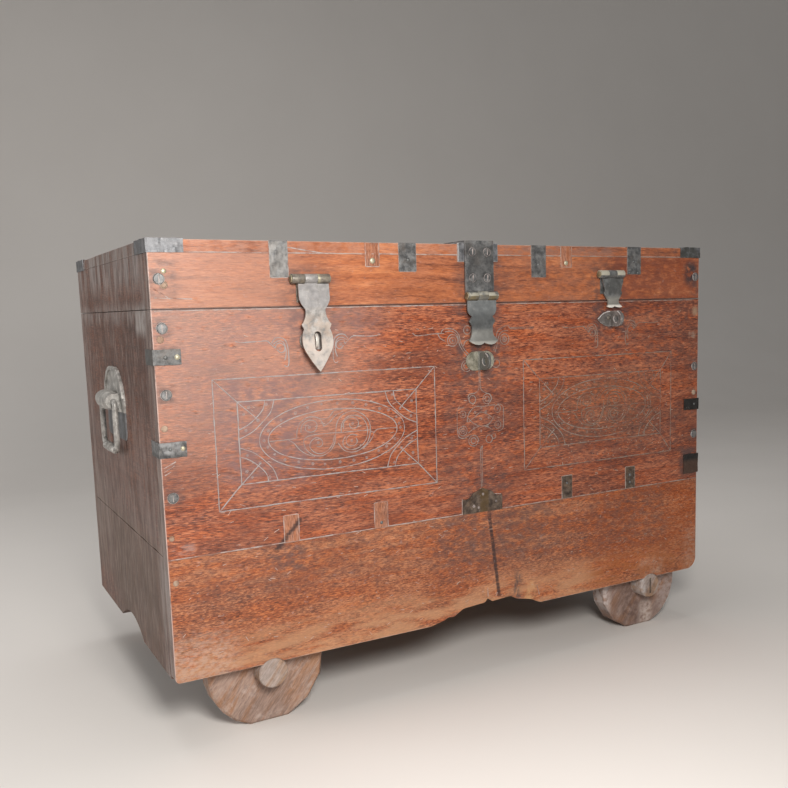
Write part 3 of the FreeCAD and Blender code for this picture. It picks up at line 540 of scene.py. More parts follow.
# rows of x or y, height, half sizes, soft width, colour, share, grit and even
sideMarks = [sideMark(*row) for row in (
    (60, 790, 300, 14, 55, sideDust, 0.95),
    (295, 560, 30, 300, 30, lilacDust, 0.8, (70.0, 3.0)),
    (-292, 500, 14, 300, 34, rgb(0.30, 0.245, 0.222), 0.75, (90.0, 3.5)),
    (-100, 640, 200, 60, 60, rgb(0.055, 0.024, 0.018), 0.55, (60.0, 5.0)),
    (0, 320, 300, 40, 60, rgb(0.23, 0.176, 0.150), 0.55, (110.0, 6.0)),
    (0, 706, 320, 3, 26, sideDust, 0.7, (50.0, 22.0)),
    (-235, 694, 24, 8, 24, rgb(0.46, 0.43, 0.41), 0.8, (40.0, 20.0), 0.1),
    (-60, 410, 250, 60, 110, lilacDust, 0.6, (50.0, 4.0)),
    (60, 250, 280, 50, 60, rgb(0.165, 0.106, 0.078), 0.7, (26.0, 5.0), 0.12),
    # the dark patch low towards the front of the ends is painted shade
    (-60, 190, 130, 30, 140, rgb(0.105, 0.062, 0.040), 0.8, (60.0, 9.0), 0.1),
    (-282, 190, 8, 100, 44, rgb(0.32, 0.272, 0.256), 0.8, (80.0, 9.0)),
    (250, 290, 40, 50, 80, rgb(0.28, 0.225, 0.20), 0.55, (60.0, 7.0)),
    (0, 450, 330, 400, 20, rgb(0.058, 0.028, 0.019), 0.6, (100.0, 20.0), -0.04),
    (0, 450, 330, 400, 20, rgb(0.31, 0.24, 0.21), 0.5, (110.0, 24.0), -0.1))]
arrisMarks = [arrisMark(-1, rgb(0.60, 0.41, 0.355), 0.65), arrisMark(1, rgb(0.40, 0.30, 0.26), 0.5)]
# a dark gouge climbs over the left patch, and a long stain leans to the right as it runs down from the tongue plate
gougeMarks = trail((-396, 317), (4.3, 4.5), 11, 2, 2, 4, stainAndSeamShadeColour, 0.8, usualGrit, 0.1)
stainMarks = trail((28, 320), (0.92, -7.6), 22, 1.8, 4, 3.5, stainAndSeamShadeColour, 0.8, speckGrit, 0.12)
jointShade = seamShade(jointZ, 0.2, 0.4)
lidShade = seamShade(seamZ, 0.4, 0.8)
screwGrime = [frontMark(x, z, 6, 6, 16, grimeColour, 0.7) for x, z in (
    (-560, 690), (-560, 588), (-560, 426), (-555, 650), (-555, 503), (564, 574), (564, 426))]
# the first mark is the pale haze on the upper left: dust and painted sheen
upperMarks = [frontMark(-440, 640, 110, 60, 190, hazeAndSheenColour, 0.5, usualGrit, 0.16)]
upperMarks += [ironGrime(*row) for row in (("hasp_left", 34, 0.45), ("hasp_centre", 46, 0.75),
                                           ("staple_centre", 50, 0.75), ("staple_right", 30, 0.65),
                                           ("tongue_plate", 34, 0.5))]
upperMarks += [frontMark(*row) for row in (
    (13, 500, 60, 90, 60, grimeColour, 0.45),
    (300, 500, 130, 40, 50, rgb(0.105, 0.068, 0.045), 0.6, (160.0, 330.0)),
    (-400, 520, 50, 60, 60, lilacColour, 0.75),
    (-330, 690, 120, 10, 40, lilacColour, 0.45),
    (-500, 600, 20, 60, 40, lilacColour, 0.35),
    (-200, 380, 250, 20, 40, grimeColour, 0.2),
    (420, 640, 120, 40, 70, grimeColour, 0.45),
    (545, 520, 14, 190, 45, rgb(0.10, 0.034, 0.022), 0.4),
    (350, 440, 150, 30, 60, grimeColour, 0.4))]
upperMarks += [lidShade, jointShade] + screwGrime
upperMarks += [frontMark(*row) for row in (
    (565, 692, 1, 3, 12, rgb(0.32, 0.21, 0.135), 0.8, speckGrit, 0.1),
    (557, 641, 6, 3, 8, rgb(0.34, 0.24, 0.18), 0.6, dustGrit),
    (548, 367, 14, 20, 18, grimeColour, 0.75, usualGrit, 0.1),
    (-549, 341, 12, 2, 11, rgb(0.40, 0.27, 0.235), 0.55, (60.0, 220.0)))]
upperMarks += gougeMarks
lowerMarks = [frontMark(*row) for row in (
    (-160, 130, 430, 18, 70, tanColour, 0.7, (12.0, 60.0)),
    (430, 150, 130, 10, 60, rgb(0.28, 0.088, 0.022), 0.7, (20.0, 120.0)),
    (-540, 150, 40, 20, 50, paleColour, 0.4, dustGrit),
    (440, 146, 20, 6, 24, rgb(0.42, 0.28, 0.20), 0.5, sootGrit),
    (564, 160, 8, 40, 30, rgb(0.40, 0.28, 0.215), 0.4, dustGrit),
    (430, 255, 120, 50, 70, rgb(0.27, 0.050, 0.002), 0.6, (70.0, 260.0)),
    (92, 170, 5, 22, 10, rgb(0.07, 0.05, 0.045), 0.85, (120.0, 40.0)),
    (122, 150, 6, 14, 12, rgb(0.50, 0.28, 0.13), 0.8, (60.0, 30.0)),
    (-380, 300, 25, 14, 20, grimeColour, 0.6),
    (-180, 290, 330, 30, 50, grimeColour, 0.35),
    (200, 270, 260, 40, 60, grimeColour, 0.45))]
lowerMarks += [jointShade] + stainMarks + gougeMarks
# the first mark is the pale haze on the left of the rail: dust and painted sheen
railMarks = [frontMark(-480, 760, 80, 30, 120, hazeAndSheenColour, 0.35, usualGrit, 0.16)]
railMarks += [ironGrime(*row) for row in (("hasp_leaf_left", 30, 0.5), ("hasp_strap_centre", 30, 0.55),
                                          ("hasp_leaf_right", 30, 0.55))]
railMarks += [frontMark(*row) for row in (
    (-555, 765, 14, 20, 20, grimeColour, 0.6),
    (460, 762, 100, 34, 70, rgb(0.21, 0.036, 0.008), 0.6, usualGrit, 0.06),
    (552, 772, 5, 10, 26, rgb(0.028, 0.027, 0.032), 0.95, sootGrit, 0.08),
    (562, 738, 2, 4, 18, rgb(0.05, 0.036, 0.040), 0.8, sootGrit),
    (250, 760, 220, 40, 80, grimeColour, 0.35))]
railMarks += [lidShade, seamShade(plankZ, 0.1, 0.5)]
# the first mark is the pale haze along the lid's front: dust and painted sheen
plankMarks = [frontMark(*row) for row in (
    (-100, 812, 420, 8, 30, hazeAndSheenColour, 0.3), (545, 812, 30, 12, 30, grimeColour, 0.7),
    (250, 812, 220, 12, 60, grimeColour, 0.35))]
# rows of two corners as shares of the node's box, soft width, colour, share and even
wheelMarks = [nodeMark("wheel_front_right", *row) for row in (
    ((0, 0, 0.15), (0.02, 1, 0.55), 24, rgb(0.56, 0.50, 0.48), 0.75, 0.06),
    ((0.3, 0, 0.1), (0.45, 1, 0.4), 30, rgb(0.10, 0.058, 0.046), 0.7, 0.0),
    ((0.55, 0, 0), (0.62, 1, 0.2), 20, rgb(0.54, 0.45, 0.40), 0.7, 0.02),
    ((0.8, 0, 0.2), (1, 1, 0.5), 24, rgb(0.40, 0.33, 0.31), 0.6, 0.0))]
axleMarks = [nodeMark("axle_right", *row) for row in (
    ((0, 0, 0), (0.2, 0.3, 1), 6, rgb(0.46, 0.43, 0.42), 0.6, 0.0),
    ((0.3, 0, 0.2), (0.7, 0.02, 0.7), 8, rgb(0.13, 0.092, 0.078), 0.6, 0.0))]


# Boards

bluntEdge = dict(boardEdge, round=12.0 * mm, usual=0.175)
upperEdge = dict(bluntEdge, blunt=[frontHigh])
railEdge = dict(bluntEdge, usual=0.105, blunt=[Vector((endX, 0.0, railLow.z))])
brokenEdge = dict(boardEdge, slice=2.6 * mm)
patchEdge = dict(plankEdge, round=1.0 * mm)
boardKinds = [
    (redWood, upperEdge, upperMarks, ["front_upper_board"]),
    (lowWood, brokenEdge, lowerMarks, ["front_lower_board"]),
    (endWood, boardEdge, sideMarks, ["back_upper_board", "back_lower_board", "left_upper_end", "left_lower_end",
                                     "right_upper_end", "right_lower_end"]),
    (lidWood, railEdge, railMarks, ["lid_front_rail"]),
    (endWood, plankEdge, sideMarks, ["lid_back_rail", "lid_left_rail", "lid_right_rail"]),
    (lidWood, plankEdge, plankMarks, ["lid_plank_front", "lid_plank_middle", "lid_plank_back"]),
    (innerWood, plankEdge, (), ["floor_plank_front", "floor_plank_back", "floor_cleats", "lid_battens",
                                "axle_bearer_front_left", "axle_bearer_front_right", "axle_bearer_back_left",
                                "axle_bearer_back_right"]),
    (greyWood, boardEdge, (), ["wheel_front_left"]),
    (duskWood, boardEdge, wheelMarks, ["wheel_front_right"]),
    (greyWood, boardEdge, (), ["wheel_back_left", "wheel_back_right"]),
    (axleWood, plankEdge, (), ["axle_left"]),
    (axleWood, plankEdge, axleMarks, ["axle_right"]),
    (patchWood, patchEdge, (), ["lid_patches"]),
    (patchWood, patchEdge, gougeMarks, ["body_patches"]),
]
# the line the broken lower edge really takes, from left to right, and the height up to which it holds
brokenLine = [(-104, 124.5), (-75, 130.5), (-67.6, 134.5), (-55, 133), (-33.5, 145), (15, 148), (21.2, 155.5),
              (31.7, 147.5), (66.6, 149.6), (75.8, 149.5), (88.3, 142), (125, 134), (144, 124.2)]
brokenTop = 170


def breakEdge(spot):
    x, z = spot.x / mm, spot.z / mm - drop
    for (startX, startZ), (endingX, endingZ) in zip(brokenLine, brokenLine[1:]):
        if z < brokenTop and startX <= x < endingX:
            goal = startZ + (endingZ - startZ) * (x - startX) / (endingX - startX)
            return Vector((0.0, 0.0, (goal - z) * mm))
    return Vector((0.0, 0.0, 0.0))


boardShifts = {"front_lower_board": (breakEdge, [(0, brokenLine[0][0], brokenLine[-1][0])])}


def makeBoards():
    for look, edge, marks, names in boardKinds:
        for nodeName in names:
            ends = endWood if nodeName.startswith(("front_", "lid_front", "lid_plank")) else None
            material = woodMaterial(nodeName + "Wood", nodeName, look, marks, ends)
            place(wornCopy(nodeName, edge, *boardShifts.get(nodeName, ())), [material], nodeName)


makeBoards()
print("boards worn:", sum(len(names) for look, edge, marks, names in boardKinds))


# Ironwork

darkIron = {"dark": rgb(0.050, 0.050, 0.051), "pale": rgb(0.19, 0.188, 0.185), "rust": rgb(0.15, 0.118, 0.095),
            "edge": rgb(0.36, 0.345, 0.33), "metal": 0.5, "dust": 0.20}
midIron = dict(darkIron, dark=rgb(0.085, 0.086, 0.088), pale=rgb(0.27, 0.27, 0.268),
               edge=rgb(0.46, 0.45, 0.44), metal=0.55)
rustIron = dict(darkIron, dark=rgb(0.048, 0.034, 0.027), pale=rgb(0.20, 0.15, 0.115), rust=rgb(0.20, 0.115, 0.065))
sheetIron = dict(darkIron, dark=rgb(0.060, 0.062, 0.067), pale=rgb(0.25, 0.255, 0.27), rust=rgb(0.14, 0.125, 0.12),
                 edge=rgb(0.38, 0.37, 0.37), metal=0.3, dust=0.2)
pewter = dict(darkIron, dark=rgb(0.24, 0.23, 0.215), pale=rgb(0.62, 0.60, 0.565), rust=rgb(0.36, 0.315, 0.275),
              edge=rgb(0.70, 0.68, 0.65), metal=0.35)
paleIron = dict(darkIron, dark=rgb(0.22, 0.208, 0.198), pale=rgb(0.43, 0.41, 0.39), rust=rgb(0.34, 0.27, 0.215),
                edge=rgb(0.50, 0.47, 0.43), metal=0.4)
steel = dict(darkIron, dark=rgb(0.080, 0.082, 0.082), pale=rgb(0.225, 0.23, 0.228), rust=rgb(0.16, 0.145, 0.13),
             edge=rgb(0.50, 0.47, 0.44), metal=0.45)
knuckle = dict(darkIron, dark=rgb(0.10, 0.088, 0.075), pale=rgb(0.32, 0.285, 0.24), rust=rgb(0.24, 0.19, 0.12),
               edge=rgb(0.42, 0.385, 0.34), metal=0.5)
brass = dict(darkIron, dark=rgb(0.12, 0.105, 0.06), pale=rgb(0.42, 0.385, 0.255), rust=rgb(0.22, 0.175, 0.11),
             edge=rgb(0.62, 0.58, 0.46), metal=0.6, dust=0.15)
paleBrass = dict(brass, dark=rgb(0.20, 0.19, 0.145), pale=rgb(0.50, 0.475, 0.395), edge=rgb(0.80, 0.76, 0.68))
greySteel = dict(steel, dark=rgb(0.13, 0.125, 0.12), pale=rgb(0.36, 0.335, 0.32), edge=rgb(0.70, 0.66, 0.64))
ironEdge = dict(boardEdge, round=2.0 * mm, step=7.0 * mm, slice=4.0 * mm, uneven=0.7, edgeSlot=1)
rimEdge = dict(ironEdge, round=3.6 * mm)
ironDust = {"stretch": alike(60.0), "share": 0.6, "colour": rgb(0.40, 0.36, 0.33)}
ironBump = {"strength": 0.5, "depth": 0.5 * mm}
dents = {"wide": 62.0, "wideBy": 0.9, "fine": 170.0, "fineBy": 0.5, "seed": 3, "sheet": 0.8, "sheetEnd": -0.33,
         "strap": 0.15, "worst": 0.9, "worstTop": 0.42, "corner": 0.4}
noise.seed_set(dents["seed"])


def ironMaterial(name, look, marks=()):
    material, tree, shader, where = newMaterial(name)
    iron = useGroup(tree, agedIron, Vector=where, **lookFeeds(look, "Dark", "Pale", "Rust"))
    veil = useGroup(tree, driftDust, Vector=where, Stretch=ironDust["stretch"], Amount=look["dust"])["Mask"]
    colour = addMarks(tree, where, iron["Color"], marks)
    colour = tint(tree, times(tree, veil, ironDust["share"]), colour, ironDust["colour"])
    feed(tree, shader["Base Color"], colour)
    feed(tree, shader["Roughness"], iron["Roughness"])
    feed(tree, shader["Metallic"], ramp(tree, veil, 0.0, 1.0, look["metal"], 0.0))
    addBump(tree, shader, iron["Height"], ironBump["strength"], ironBump["depth"])
    return material


def crumple(spot):
    return (noise.noise_vector(spot * dents["wide"]) * dents["wideBy"]
            + noise.noise_vector(spot * dents["fine"]) * dents["fineBy"]) * mm


def crumpleStrap(spot):
    # the first strap on the lid is crumpled sheet, the others are only dented
    return crumple(spot) * dents["sheet" if spot.x < dents["sheetEnd"] else "strap"]


def crumpleCorner(spot):
    # the lower strap on the right is the worst
    return crumple(spot) * dents["worst" if spot.x > 0.0 and spot.z < dents["worstTop"] else "corner"]


finishes = {"dark": darkIron, "mid": midIron, "rust": rustIron, "sheet": sheetIron, "pewter": pewter, "pale": paleIron,
            "steel": steel, "knuckle": knuckle, "brass": brass, "paleBrass": paleBrass, "greySteel": greySteel}
ironMaterials = {finish: ironMaterial(finish + "Iron", look) for finish, look in finishes.items()}
# the bevelled edges of the irons take paler copies of the finishes: worn metal and a painted highlight along the edges
edgeMaterials = {finish: ironMaterial(finish + "Edge", dict(look, pale=look["edge"], dark=look["pale"]))
                 for finish, look in finishes.items()}
irons = {
    "lid_straps": "mid", "lid_corner_plates": "sheet", "corner_straps": "dark", "joint_plates": "rust",
    "tongue_plate": "rust", "hinge_body_leaf_left": "dark", "hinge_body_leaf_right": "dark",
    "hinge_lid_leaf_left": "dark", "hinge_lid_leaf_right": "dark", "hinge_pins": "dark",
    "hasp_leaf_left": "knuckle", "hasp_leaf_right": "steel", "hasp_strap_centre": "mid", "hasp_left": "pale",
    "hasp_centre": "steel", "hasp_right": "steel", "hasp_pins": "brass", "centre_bracket": "sheet",
    "staple_left": "pale", "staple_centre": "paleBrass", "staple_right": "greySteel",
    "handle_plate_left": "pewter", "handle_plate_right": "pewter", "handle_foot_left": "sheet",
    "handle_foot_right": "sheet", "bail_left": "pewter", "bail_right": "pewter",
}
# a painted highlight on the centre hasp's lip
lipHighlight = rgb(0.62, 0.60, 0.55)
sooty = rgb(0.020, 0.018, 0.017)
# brass tone with a painted highlight, for the knuckles and the top of the right leaf
brassAndHighlight = rgb(0.56, 0.53, 0.43)
# rows of two corners as shares of the node's box, soft width, colour, share and even
ironMarks = {
    "lid_straps": [((0, 0, 0), (0.06, 1, 1), 4, rgb(0.25, 0.238, 0.225), 0.7, 0.05)],
    "lid_corner_plates": [((0.9, 0, 0), (1, 1, 1), 4, rgb(0.05, 0.05, 0.044), 0.8, 0.05),
                          ((0, 0, 0), (0.05, 0.04, 1), 3, rgb(0.19, 0.19, 0.198), 0.6, 0.0)],
    "corner_straps": [((0.9, 0, 0), (1, 1, 1), 4, sooty, 0.9),
                      ((0.9, 0, 0), (1, 1, 0.07), 12, rgb(0.10, 0.058, 0.042), 0.8),
                      ((0, 0, 0.5), (0.04, 1, 0.8), 6, rgb(0.30, 0.30, 0.305), 0.7, 0.0)],
    # at the strap's rolled bottom the lowest band is painted shade, and the pale band above it is brass with a painted
    # highlight
    "hasp_strap_centre": [((0, 0, 0), (1, 0.2, 0.07), 2, rgb(0.20, 0.155, 0.075), 0.8, 0.1),
                          ((0, 0, 0.08), (1, 0.2, 0.12), 2, brassAndHighlight, 0.8, 0.1),
                          ((0.2, 0, 0.3), (0.9, 0.1, 0.85), 10, rgb(0.07, 0.068, 0.067), 0.7)],
    # centre hasp: the pale lip and the paler band above it are painted highlight, the dark brown band under the knuckle
    # is painted shade, and the pale top band is brass with a painted highlight
    "hasp_centre": [((0, 0, 0), (1, 1, 0.04), 4, lipHighlight, 0.9),
                    ((0, 0, 0.04), (1, 1, 0.24), 10, rgb(0.30, 0.295, 0.27), 0.6),
                    ((0, 0, 0.84), (1, 1, 0.93), 2, rgb(0.19, 0.145, 0.07), 0.8, 0.1),
                    ((0, 0, 0.94), (1, 1, 1), 2, rgb(0.54, 0.51, 0.42), 0.8, 0.1),
                    ((0.1, 0, 0.6), (0.9, 1, 0.8), 20, rgb(0.20, 0.212, 0.215), 0.7),
                    ((0.2, 0, 0.38), (0.8, 1, 0.52), 16, rgb(0.085, 0.090, 0.092), 0.7)],
    # right hasp: the near-white lip is a painted highlight, and the paler band above it fades that highlight upwards
    "hasp_right": [((0, 0, 0.05), (1, 1, 0.2), 12, rgb(0.34, 0.325, 0.285), 0.7),
                   ((0, 0, 0), (1, 1, 0.05), 3, rgb(0.92, 0.88, 0.80), 1.0),
                   ((0.3, 0, 0.4), (0.8, 1, 0.8), 6, rgb(0.085, 0.085, 0.082), 0.6, 0.1)],
    # the top band of the right leaf is brass tone with a painted highlight
    "hasp_leaf_right": [((0, 0, 0), (1, 0.7, 0.55), 3, rgb(0.05, 0.047, 0.036), 0.8),
                        ((0, 0, 0.8), (1, 1, 1), 2, brassAndHighlight, 0.85)],
    "hasp_leaf_left": [((0.4, 0, 0), (0.72, 1, 1), 2, rgb(0.40, 0.37, 0.25), 0.7, 0.1)],
    "tongue_plate": [((0.45, 0, 0), (0.62, 1, 1), 5, rgb(0.12, 0.075, 0.03), 0.7, 0.1)],
    # the front of the left staple's lug is painted pale as light, so it shows lit inside the shade of the hasp's slot
    "staple_left": [((0, 0, 0), (1, 0.6, 1), 1.5, rgb(0.70, 0.67, 0.61), 0.8)],
    "staple_centre": [((0.42, 0, 0), (0.62, 0.9, 1), 1.5, rgb(0.13, 0.135, 0.135), 0.9)],
    # the dark spot on the right staple's plate, left of the lug, is painted shade for the lug's hole
    "staple_right": [((0.1, 0.8, 0.2), (0.5, 1, 0.8), 8, rgb(0.12, 0.105, 0.098), 0.7, 0.1)],
    "hasp_left": [((0, 0, 0.25), (1, 1, 0.5), 20, rgb(0.46, 0.36, 0.29), 0.6, 0.0),
                  ((0, 0, 0), (1, 1, 0.3), 14, rgb(0.55, 0.48, 0.43), 0.6, 0.1),
                  ((0, 0, 0.68), (1, 1, 0.92), 10, rgb(0.27, 0.262, 0.268), 0.55, 0.1)],
}
plateSpans = [(0, -577, -519), (0, 519, 577), (1, -314, -233), (1, 253, 334), (2, 796, 819)]
strapSpans = [(0, -384, -352), (2, 750, 817), (1, -313, -265)]
cornerSpans = [(0, 533, 577), (0, -577, -533), (2, 325, 380), (2, 460, 510)]
crumpled = {"lid_corner_plates": (crumple, plateSpans), "lid_straps": (crumpleStrap, strapSpans),
            "corner_straps": (crumpleCorner, cornerSpans)}


def makeIrons():
    for nodeName, finish in irons.items():
        material = ironMaterials[finish]
        if nodeName in ironMarks:
            marks = [nodeMark(nodeName, *row) for row in ironMarks[nodeName]]
            material = ironMaterial(nodeName + "Iron", finishes[finish], marks)
        edge = rimEdge if nodeName.startswith(("staple_", "hasp_left", "hasp_centre", "hasp_right")) else ironEdge
        place(wornCopy(nodeName, edge, *crumpled.get(nodeName, ())), [material, edgeMaterials[finish]], nodeName)
    for nodeName in ("edge_screws", "lid_screws"):
        nodes[nodeName].data.materials.clear()
        nodes[nodeName].data.materials.append(ironMaterials["mid"])


makeIrons()
print("ironwork worn:", len(irons))


# Carving and studs: Geometry Nodes that follow lines or stand on points, drawn flat and then laid on the front

lineForm = {"bend": {"Scale": 30.0, "Detail": 3.0}, "width": {"Scale": 90.0, "Detail": 4.0}, "levels": (0.32, 0.62),
            "thin": 0.45, "thick": 1.3, "sides": 6, "step": 3.0 * mm, "flat": 0.3}
studForm = {"segments": 9, "rings": 6, "hoopSteps": 12, "threadSides": 4, "threadShare": 0.2, "uneven": 0.25, "seed": 7}


def newShapeTree(name, sizes):
    inputs = {"Geometry": "Geometry", **{label: "Float" for label in sizes}, "Material": "Material"}
    tree, ins, outs = newTree(name, "GeometryNodeTree", inputs, {"Geometry": "Geometry"})
    return tree, ins, outs[0]


def addShape(tree, kind, feeds, **settings):
    return addNode(tree, "GeometryNode" + kind, feeds, **settings).outputs[0]


def circle(tree, steps, radius):
    return addShape(tree, "CurvePrimitiveCircle", {"Resolution": steps, "Radius": radius})


def finishShape(tree, shape, ins, out):
    whole = addShape(tree, "SetShadeSmooth", {0: addShape(tree, "RealizeInstances", {0: shape})})
    feed(tree, out, addShape(tree, "SetMaterial", {0: whole, "Material": ins["Material"]}))


def makeCarvedLine():
    # a low ridge of settled dust along each drawn line, uneven in width and course
    tree, ins, out = newShapeTree("carvedLine", ("Radius", "Step", "Wobble", "Flat", "Lift"))
    curve = addShape(tree, "MeshToCurve", {0: ins["Geometry"]})
    curve = addShape(tree, "ResampleCurve", {"Curve": curve, "Length": ins["Step"]}, mode="LENGTH")
    spot = addShape(tree, "InputPosition", {})
    bend = addNode(tree, "ShaderNodeTexNoise", {"Vector": spot, **lineForm["bend"]}).outputs["Color"]
    bend = vecCalc(tree, "MULTIPLY", vecCalc(tree, "SUBTRACT", bend, alike(0.5)), (1.0, 1.0, 0.0))
    bend = addNode(tree, "ShaderNodeVectorMath", {0: bend, "Scale": ins["Wobble"]}, operation="SCALE").outputs[0]
    curve = addShape(tree, "SetPosition", {"Geometry": curve, "Offset": bend})
    width = addNode(tree, "ShaderNodeTexNoise", {"Vector": spot, **lineForm["width"]}).outputs[0]
    width = ramp(tree, width, *lineForm["levels"], lineForm["thin"], lineForm["thick"])
    profile = circle(tree, lineForm["sides"], ins["Radius"])
    shape = addShape(tree, "CurveToMesh", {"Curve": curve, "Profile Curve": profile, "Scale": width})
    flat, rise = joinVector(tree, 1.0, 1.0, ins["Flat"]), joinVector(tree, z=ins["Lift"])
    shape = addShape(tree, "Transform", {"Geometry": shape, "Translation": rise, "Scale": flat})
    finishShape(tree, shape, ins, out)
    return tree


def makeStuds():
    # a flattened dome and a hoop round it on every point
    tree, ins, out = newShapeTree("studs", ("Radius", "Flat", "Ring", "Uneven"))
    points = addShape(tree, "MeshToPoints", {0: ins["Geometry"]})
    ballForm = {"Segments": studForm["segments"], "Rings": studForm["rings"], "Radius": ins["Radius"]}
    ball = addShape(tree, "MeshUVSphere", ballForm)
    thread = circle(tree, studForm["threadSides"], times(tree, ins["Ring"], studForm["threadShare"]))
    hoop = {"Curve": circle(tree, studForm["hoopSteps"], ins["Ring"]), "Profile Curve": thread}
    both = tree.nodes.new("GeometryNodeJoinGeometry")
    tree.links.new(ball, both.inputs[0])
    tree.links.new(addShape(tree, "CurveToMesh", hoop), both.inputs[0])
    flat = joinVector(tree, 1.0, 1.0, ins["Flat"])
    stud = addShape(tree, "Transform", {"Geometry": both.outputs[0], "Scale": flat})
    small = calc(tree, "SUBTRACT", 1.0, ins["Uneven"])
    # inputs 2, 3 and 8 are the least and greatest float and the seed
    size = addNode(tree, "FunctionNodeRandomValue", {2: small, 3: 1.0, 8: studForm["seed"]}, data_type="FLOAT")
    grown = addShape(tree, "InstanceOnPoints", {"Points": points, "Instance": stud, "Scale": size.outputs[1]})
    finishShape(tree, grown, ins, out)
    return tree


def grow(name, tree, points, edges, settings, body, turn):
    mesh = bpy.data.meshes.new(name)
    mesh.from_pydata(points, edges, [])
    obj = link(name, mesh)
    modifier = obj.modifiers.new("grow", "NODES")
    modifier.node_group = tree
    for item in tree.interface.items_tree:
        if item.in_out == "INPUT" and item.name in settings:
            modifier[item.identifier] = settings[item.name]
    settled(obj)
    obj.data.transform(turn)
    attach(obj, body)
    return obj


frontTurn = Matrix(((1, 0, 0, 0), (0, 0, -1, frontY), (0, 1, 0, drop * mm), (0, 0, 0, 1)))
carvedLine = makeCarvedLine()
studs = makeStuds()


def newSheet():
    return {"points": [], "edges": []}


def draw(sheet, line, closed=False):
    first = len(sheet["points"])
    sheet["points"] += [(x * mm, z * mm, 0.0) for x, z in line]
    last = len(sheet["points"]) - 1
    sheet["edges"] += [(k, k + 1) for k in range(first, last)]
    if closed:
        sheet["edges"].append((last, first))


def spline(line, steps=5):
    # a smooth line through the given points
    knots = [Vector(line[0])] + [Vector(knot) for knot in line] + [Vector(line[-1])]
    points = []
    for a, b, c, d in zip(knots, knots[1:], knots[2:], knots[3:]):
        for step in range(steps):
            t = step / steps
            spot = 2 * b + (c - a) * t + (2 * a - 5 * b + 4 * c - d) * t * t + (3 * b - a - 3 * c + d) * t * t * t
            points.append(tuple(spot / 2))
    return points + [tuple(knots[-1])]


def ring(x, z, radiusX, radiusZ, steps):
    angles = [2 * math.pi * step / steps for step in range(steps)]
    return [(x + radiusX * math.cos(angle), z + radiusZ * math.sin(angle)) for angle in angles]


def shifted(line, x, z, stretch=1.0, flip=1.0):
    return [(x + flip * stretch * px, z + pz) for px, pz in line]


# corner fans from the corner inwards, the oval's motif from its centre, the middle motif in place; millimetres
fanArcs = [[(46, 0), (42, 15), (28.5, 29), (15, 39), (1, 45)], [(62, 0), (55, 20), (41, 35), (23, 50), (1, 60)]]
fanDots = [(48, 7), (33, 32), (12, 47), (18.5, 10), (9.8, 20.4)]
ovalDots = [(-126, 0), (-118, 16), (-95, 31.5), (-70, 41), (-48, 49), (-23, 53), (6, 52), (35, 51), (60, 46), (86, 37),
            (103, 33), (118, 20), (123, 8), (125.5, 0.5), (-120, -11), (-109, -24), (-92, -35), (-68, -41), (-43, -47),
            (-21, -50), (7, -49), (33, -49), (57.5, -47), (81, -37), (97, -30.5), (114, -19)]
voluteDots = [(-46.5, 15.2), (-31.6, -11.9), (33.1, 15.2), (30.5, -13.7)]
motif = [
    [(-117, -2.1), (-93, -2.1), (-70, -1.5)], [(66.5, -0.8), (74, -3.9), (82, 1.3), (118, 0.5)],
    [(-69.6, -0.8), (-68.3, 12), (-62, 25), (-49, 32.3), (-33.6, 31.5), (-24.6, 25), (-20.8, 16)],
    [(-62, 8.3), (-59, 20.4), (-47.7, 27), (-36, 24.5), (-32.3, 16), (-37.5, 8.3), (-46.5, 7), (-54, 12), (-51.6, 20)],
    [(-1.5, -2), (-5.4, -16.3), (-14.4, -26.6), (-27.2, -31.2), (-38.8, -27.9), (-46.5, -18.8), (-45.2, -9.8),
     (-36.2, -3.4), (-27.2, -5.4), (-23.4, -12.4), (-27.2, -18.8), (-35, -18.3)],
    [(1, 1.8), (-1.5, -15), (-10.5, -28), (-26, -35), (-41.3, -32.3), (-51.6, -24), (-56.7, -13.7), (-56.2, -3.4),
     (-41.3, 1.8), (-20.8, 1.8), (-0.3, 2.6)],
    [(1, 1.8), (3.6, 17.3), (12.6, 30.2), (28, 36.7), (43.4, 35), (58.8, 25), (66.5, 9.6), (65.2, -7.2), (58.8, -21.4),
     (46, -31.2), (30.5, -34.3), (15, -29.2), (5, -16.3)],
    [(11.3, 1.8), (12.6, 14.7), (20.3, 25.6), (33, 29.7), (48.5, 25.6), (58.3, 14.7), (61.3, 0.5), (56.7, -16.3),
     (43.4, -27.4), (28, -29.7), (16.4, -24), (14, -13.7), (19, -6)],
    [(16.4, 7), (16.4, 17.3), (24, 25), (35.7, 25.6), (44, 18.6), (43.4, 9.6), (35.7, 5.7), (28, 9.6), (27.5, 16)],
    [(40.8, -6), (30.5, -3.4), (21.6, -8.5), (19.8, -16.3), (25.4, -22.7), (35.7, -22.7), (40.8, -16.3), (38.2, -9.8)],
    [(-36.2, 2.6), (5, 1.8), (66.5, 1)], [(-83.7, -3.4), (-74.7, -9), (-64.4, -21.4), (-51.6, -30.5), (-38.8, -35)],
    [(74, -2.8), (69, -13.7), (61.3, -22), (51, -30.5)], [(-22, 14.7), (-10.5, 20), (2.3, 31.5), (16.4, 37.4)],
    [(-36, 32.3), (-20.8, 27), (-9.2, 30.7), (-0.3, 40), (15, 41)],
]
flourish = [
    [(75, 13.8), (62, 12), (40, 12.5), (22, 13), (15, 7), (8, 1)],
    [(8, 1), (6, 7), (-1, 8.5), (-8, 3), (-7, -5), (0, -7), (5, -2)],
    [(14, 9), (8, 16.5), (-2, 17.5), (-10, 12), (-13.5, 0), (-14.5, -14), (-14, -26), (-10, -31), (-6, -28)],
    [(12, 7), (4, 12), (-5, 11), (-9.5, 2), (-10, -10), (-7, -20)],
]
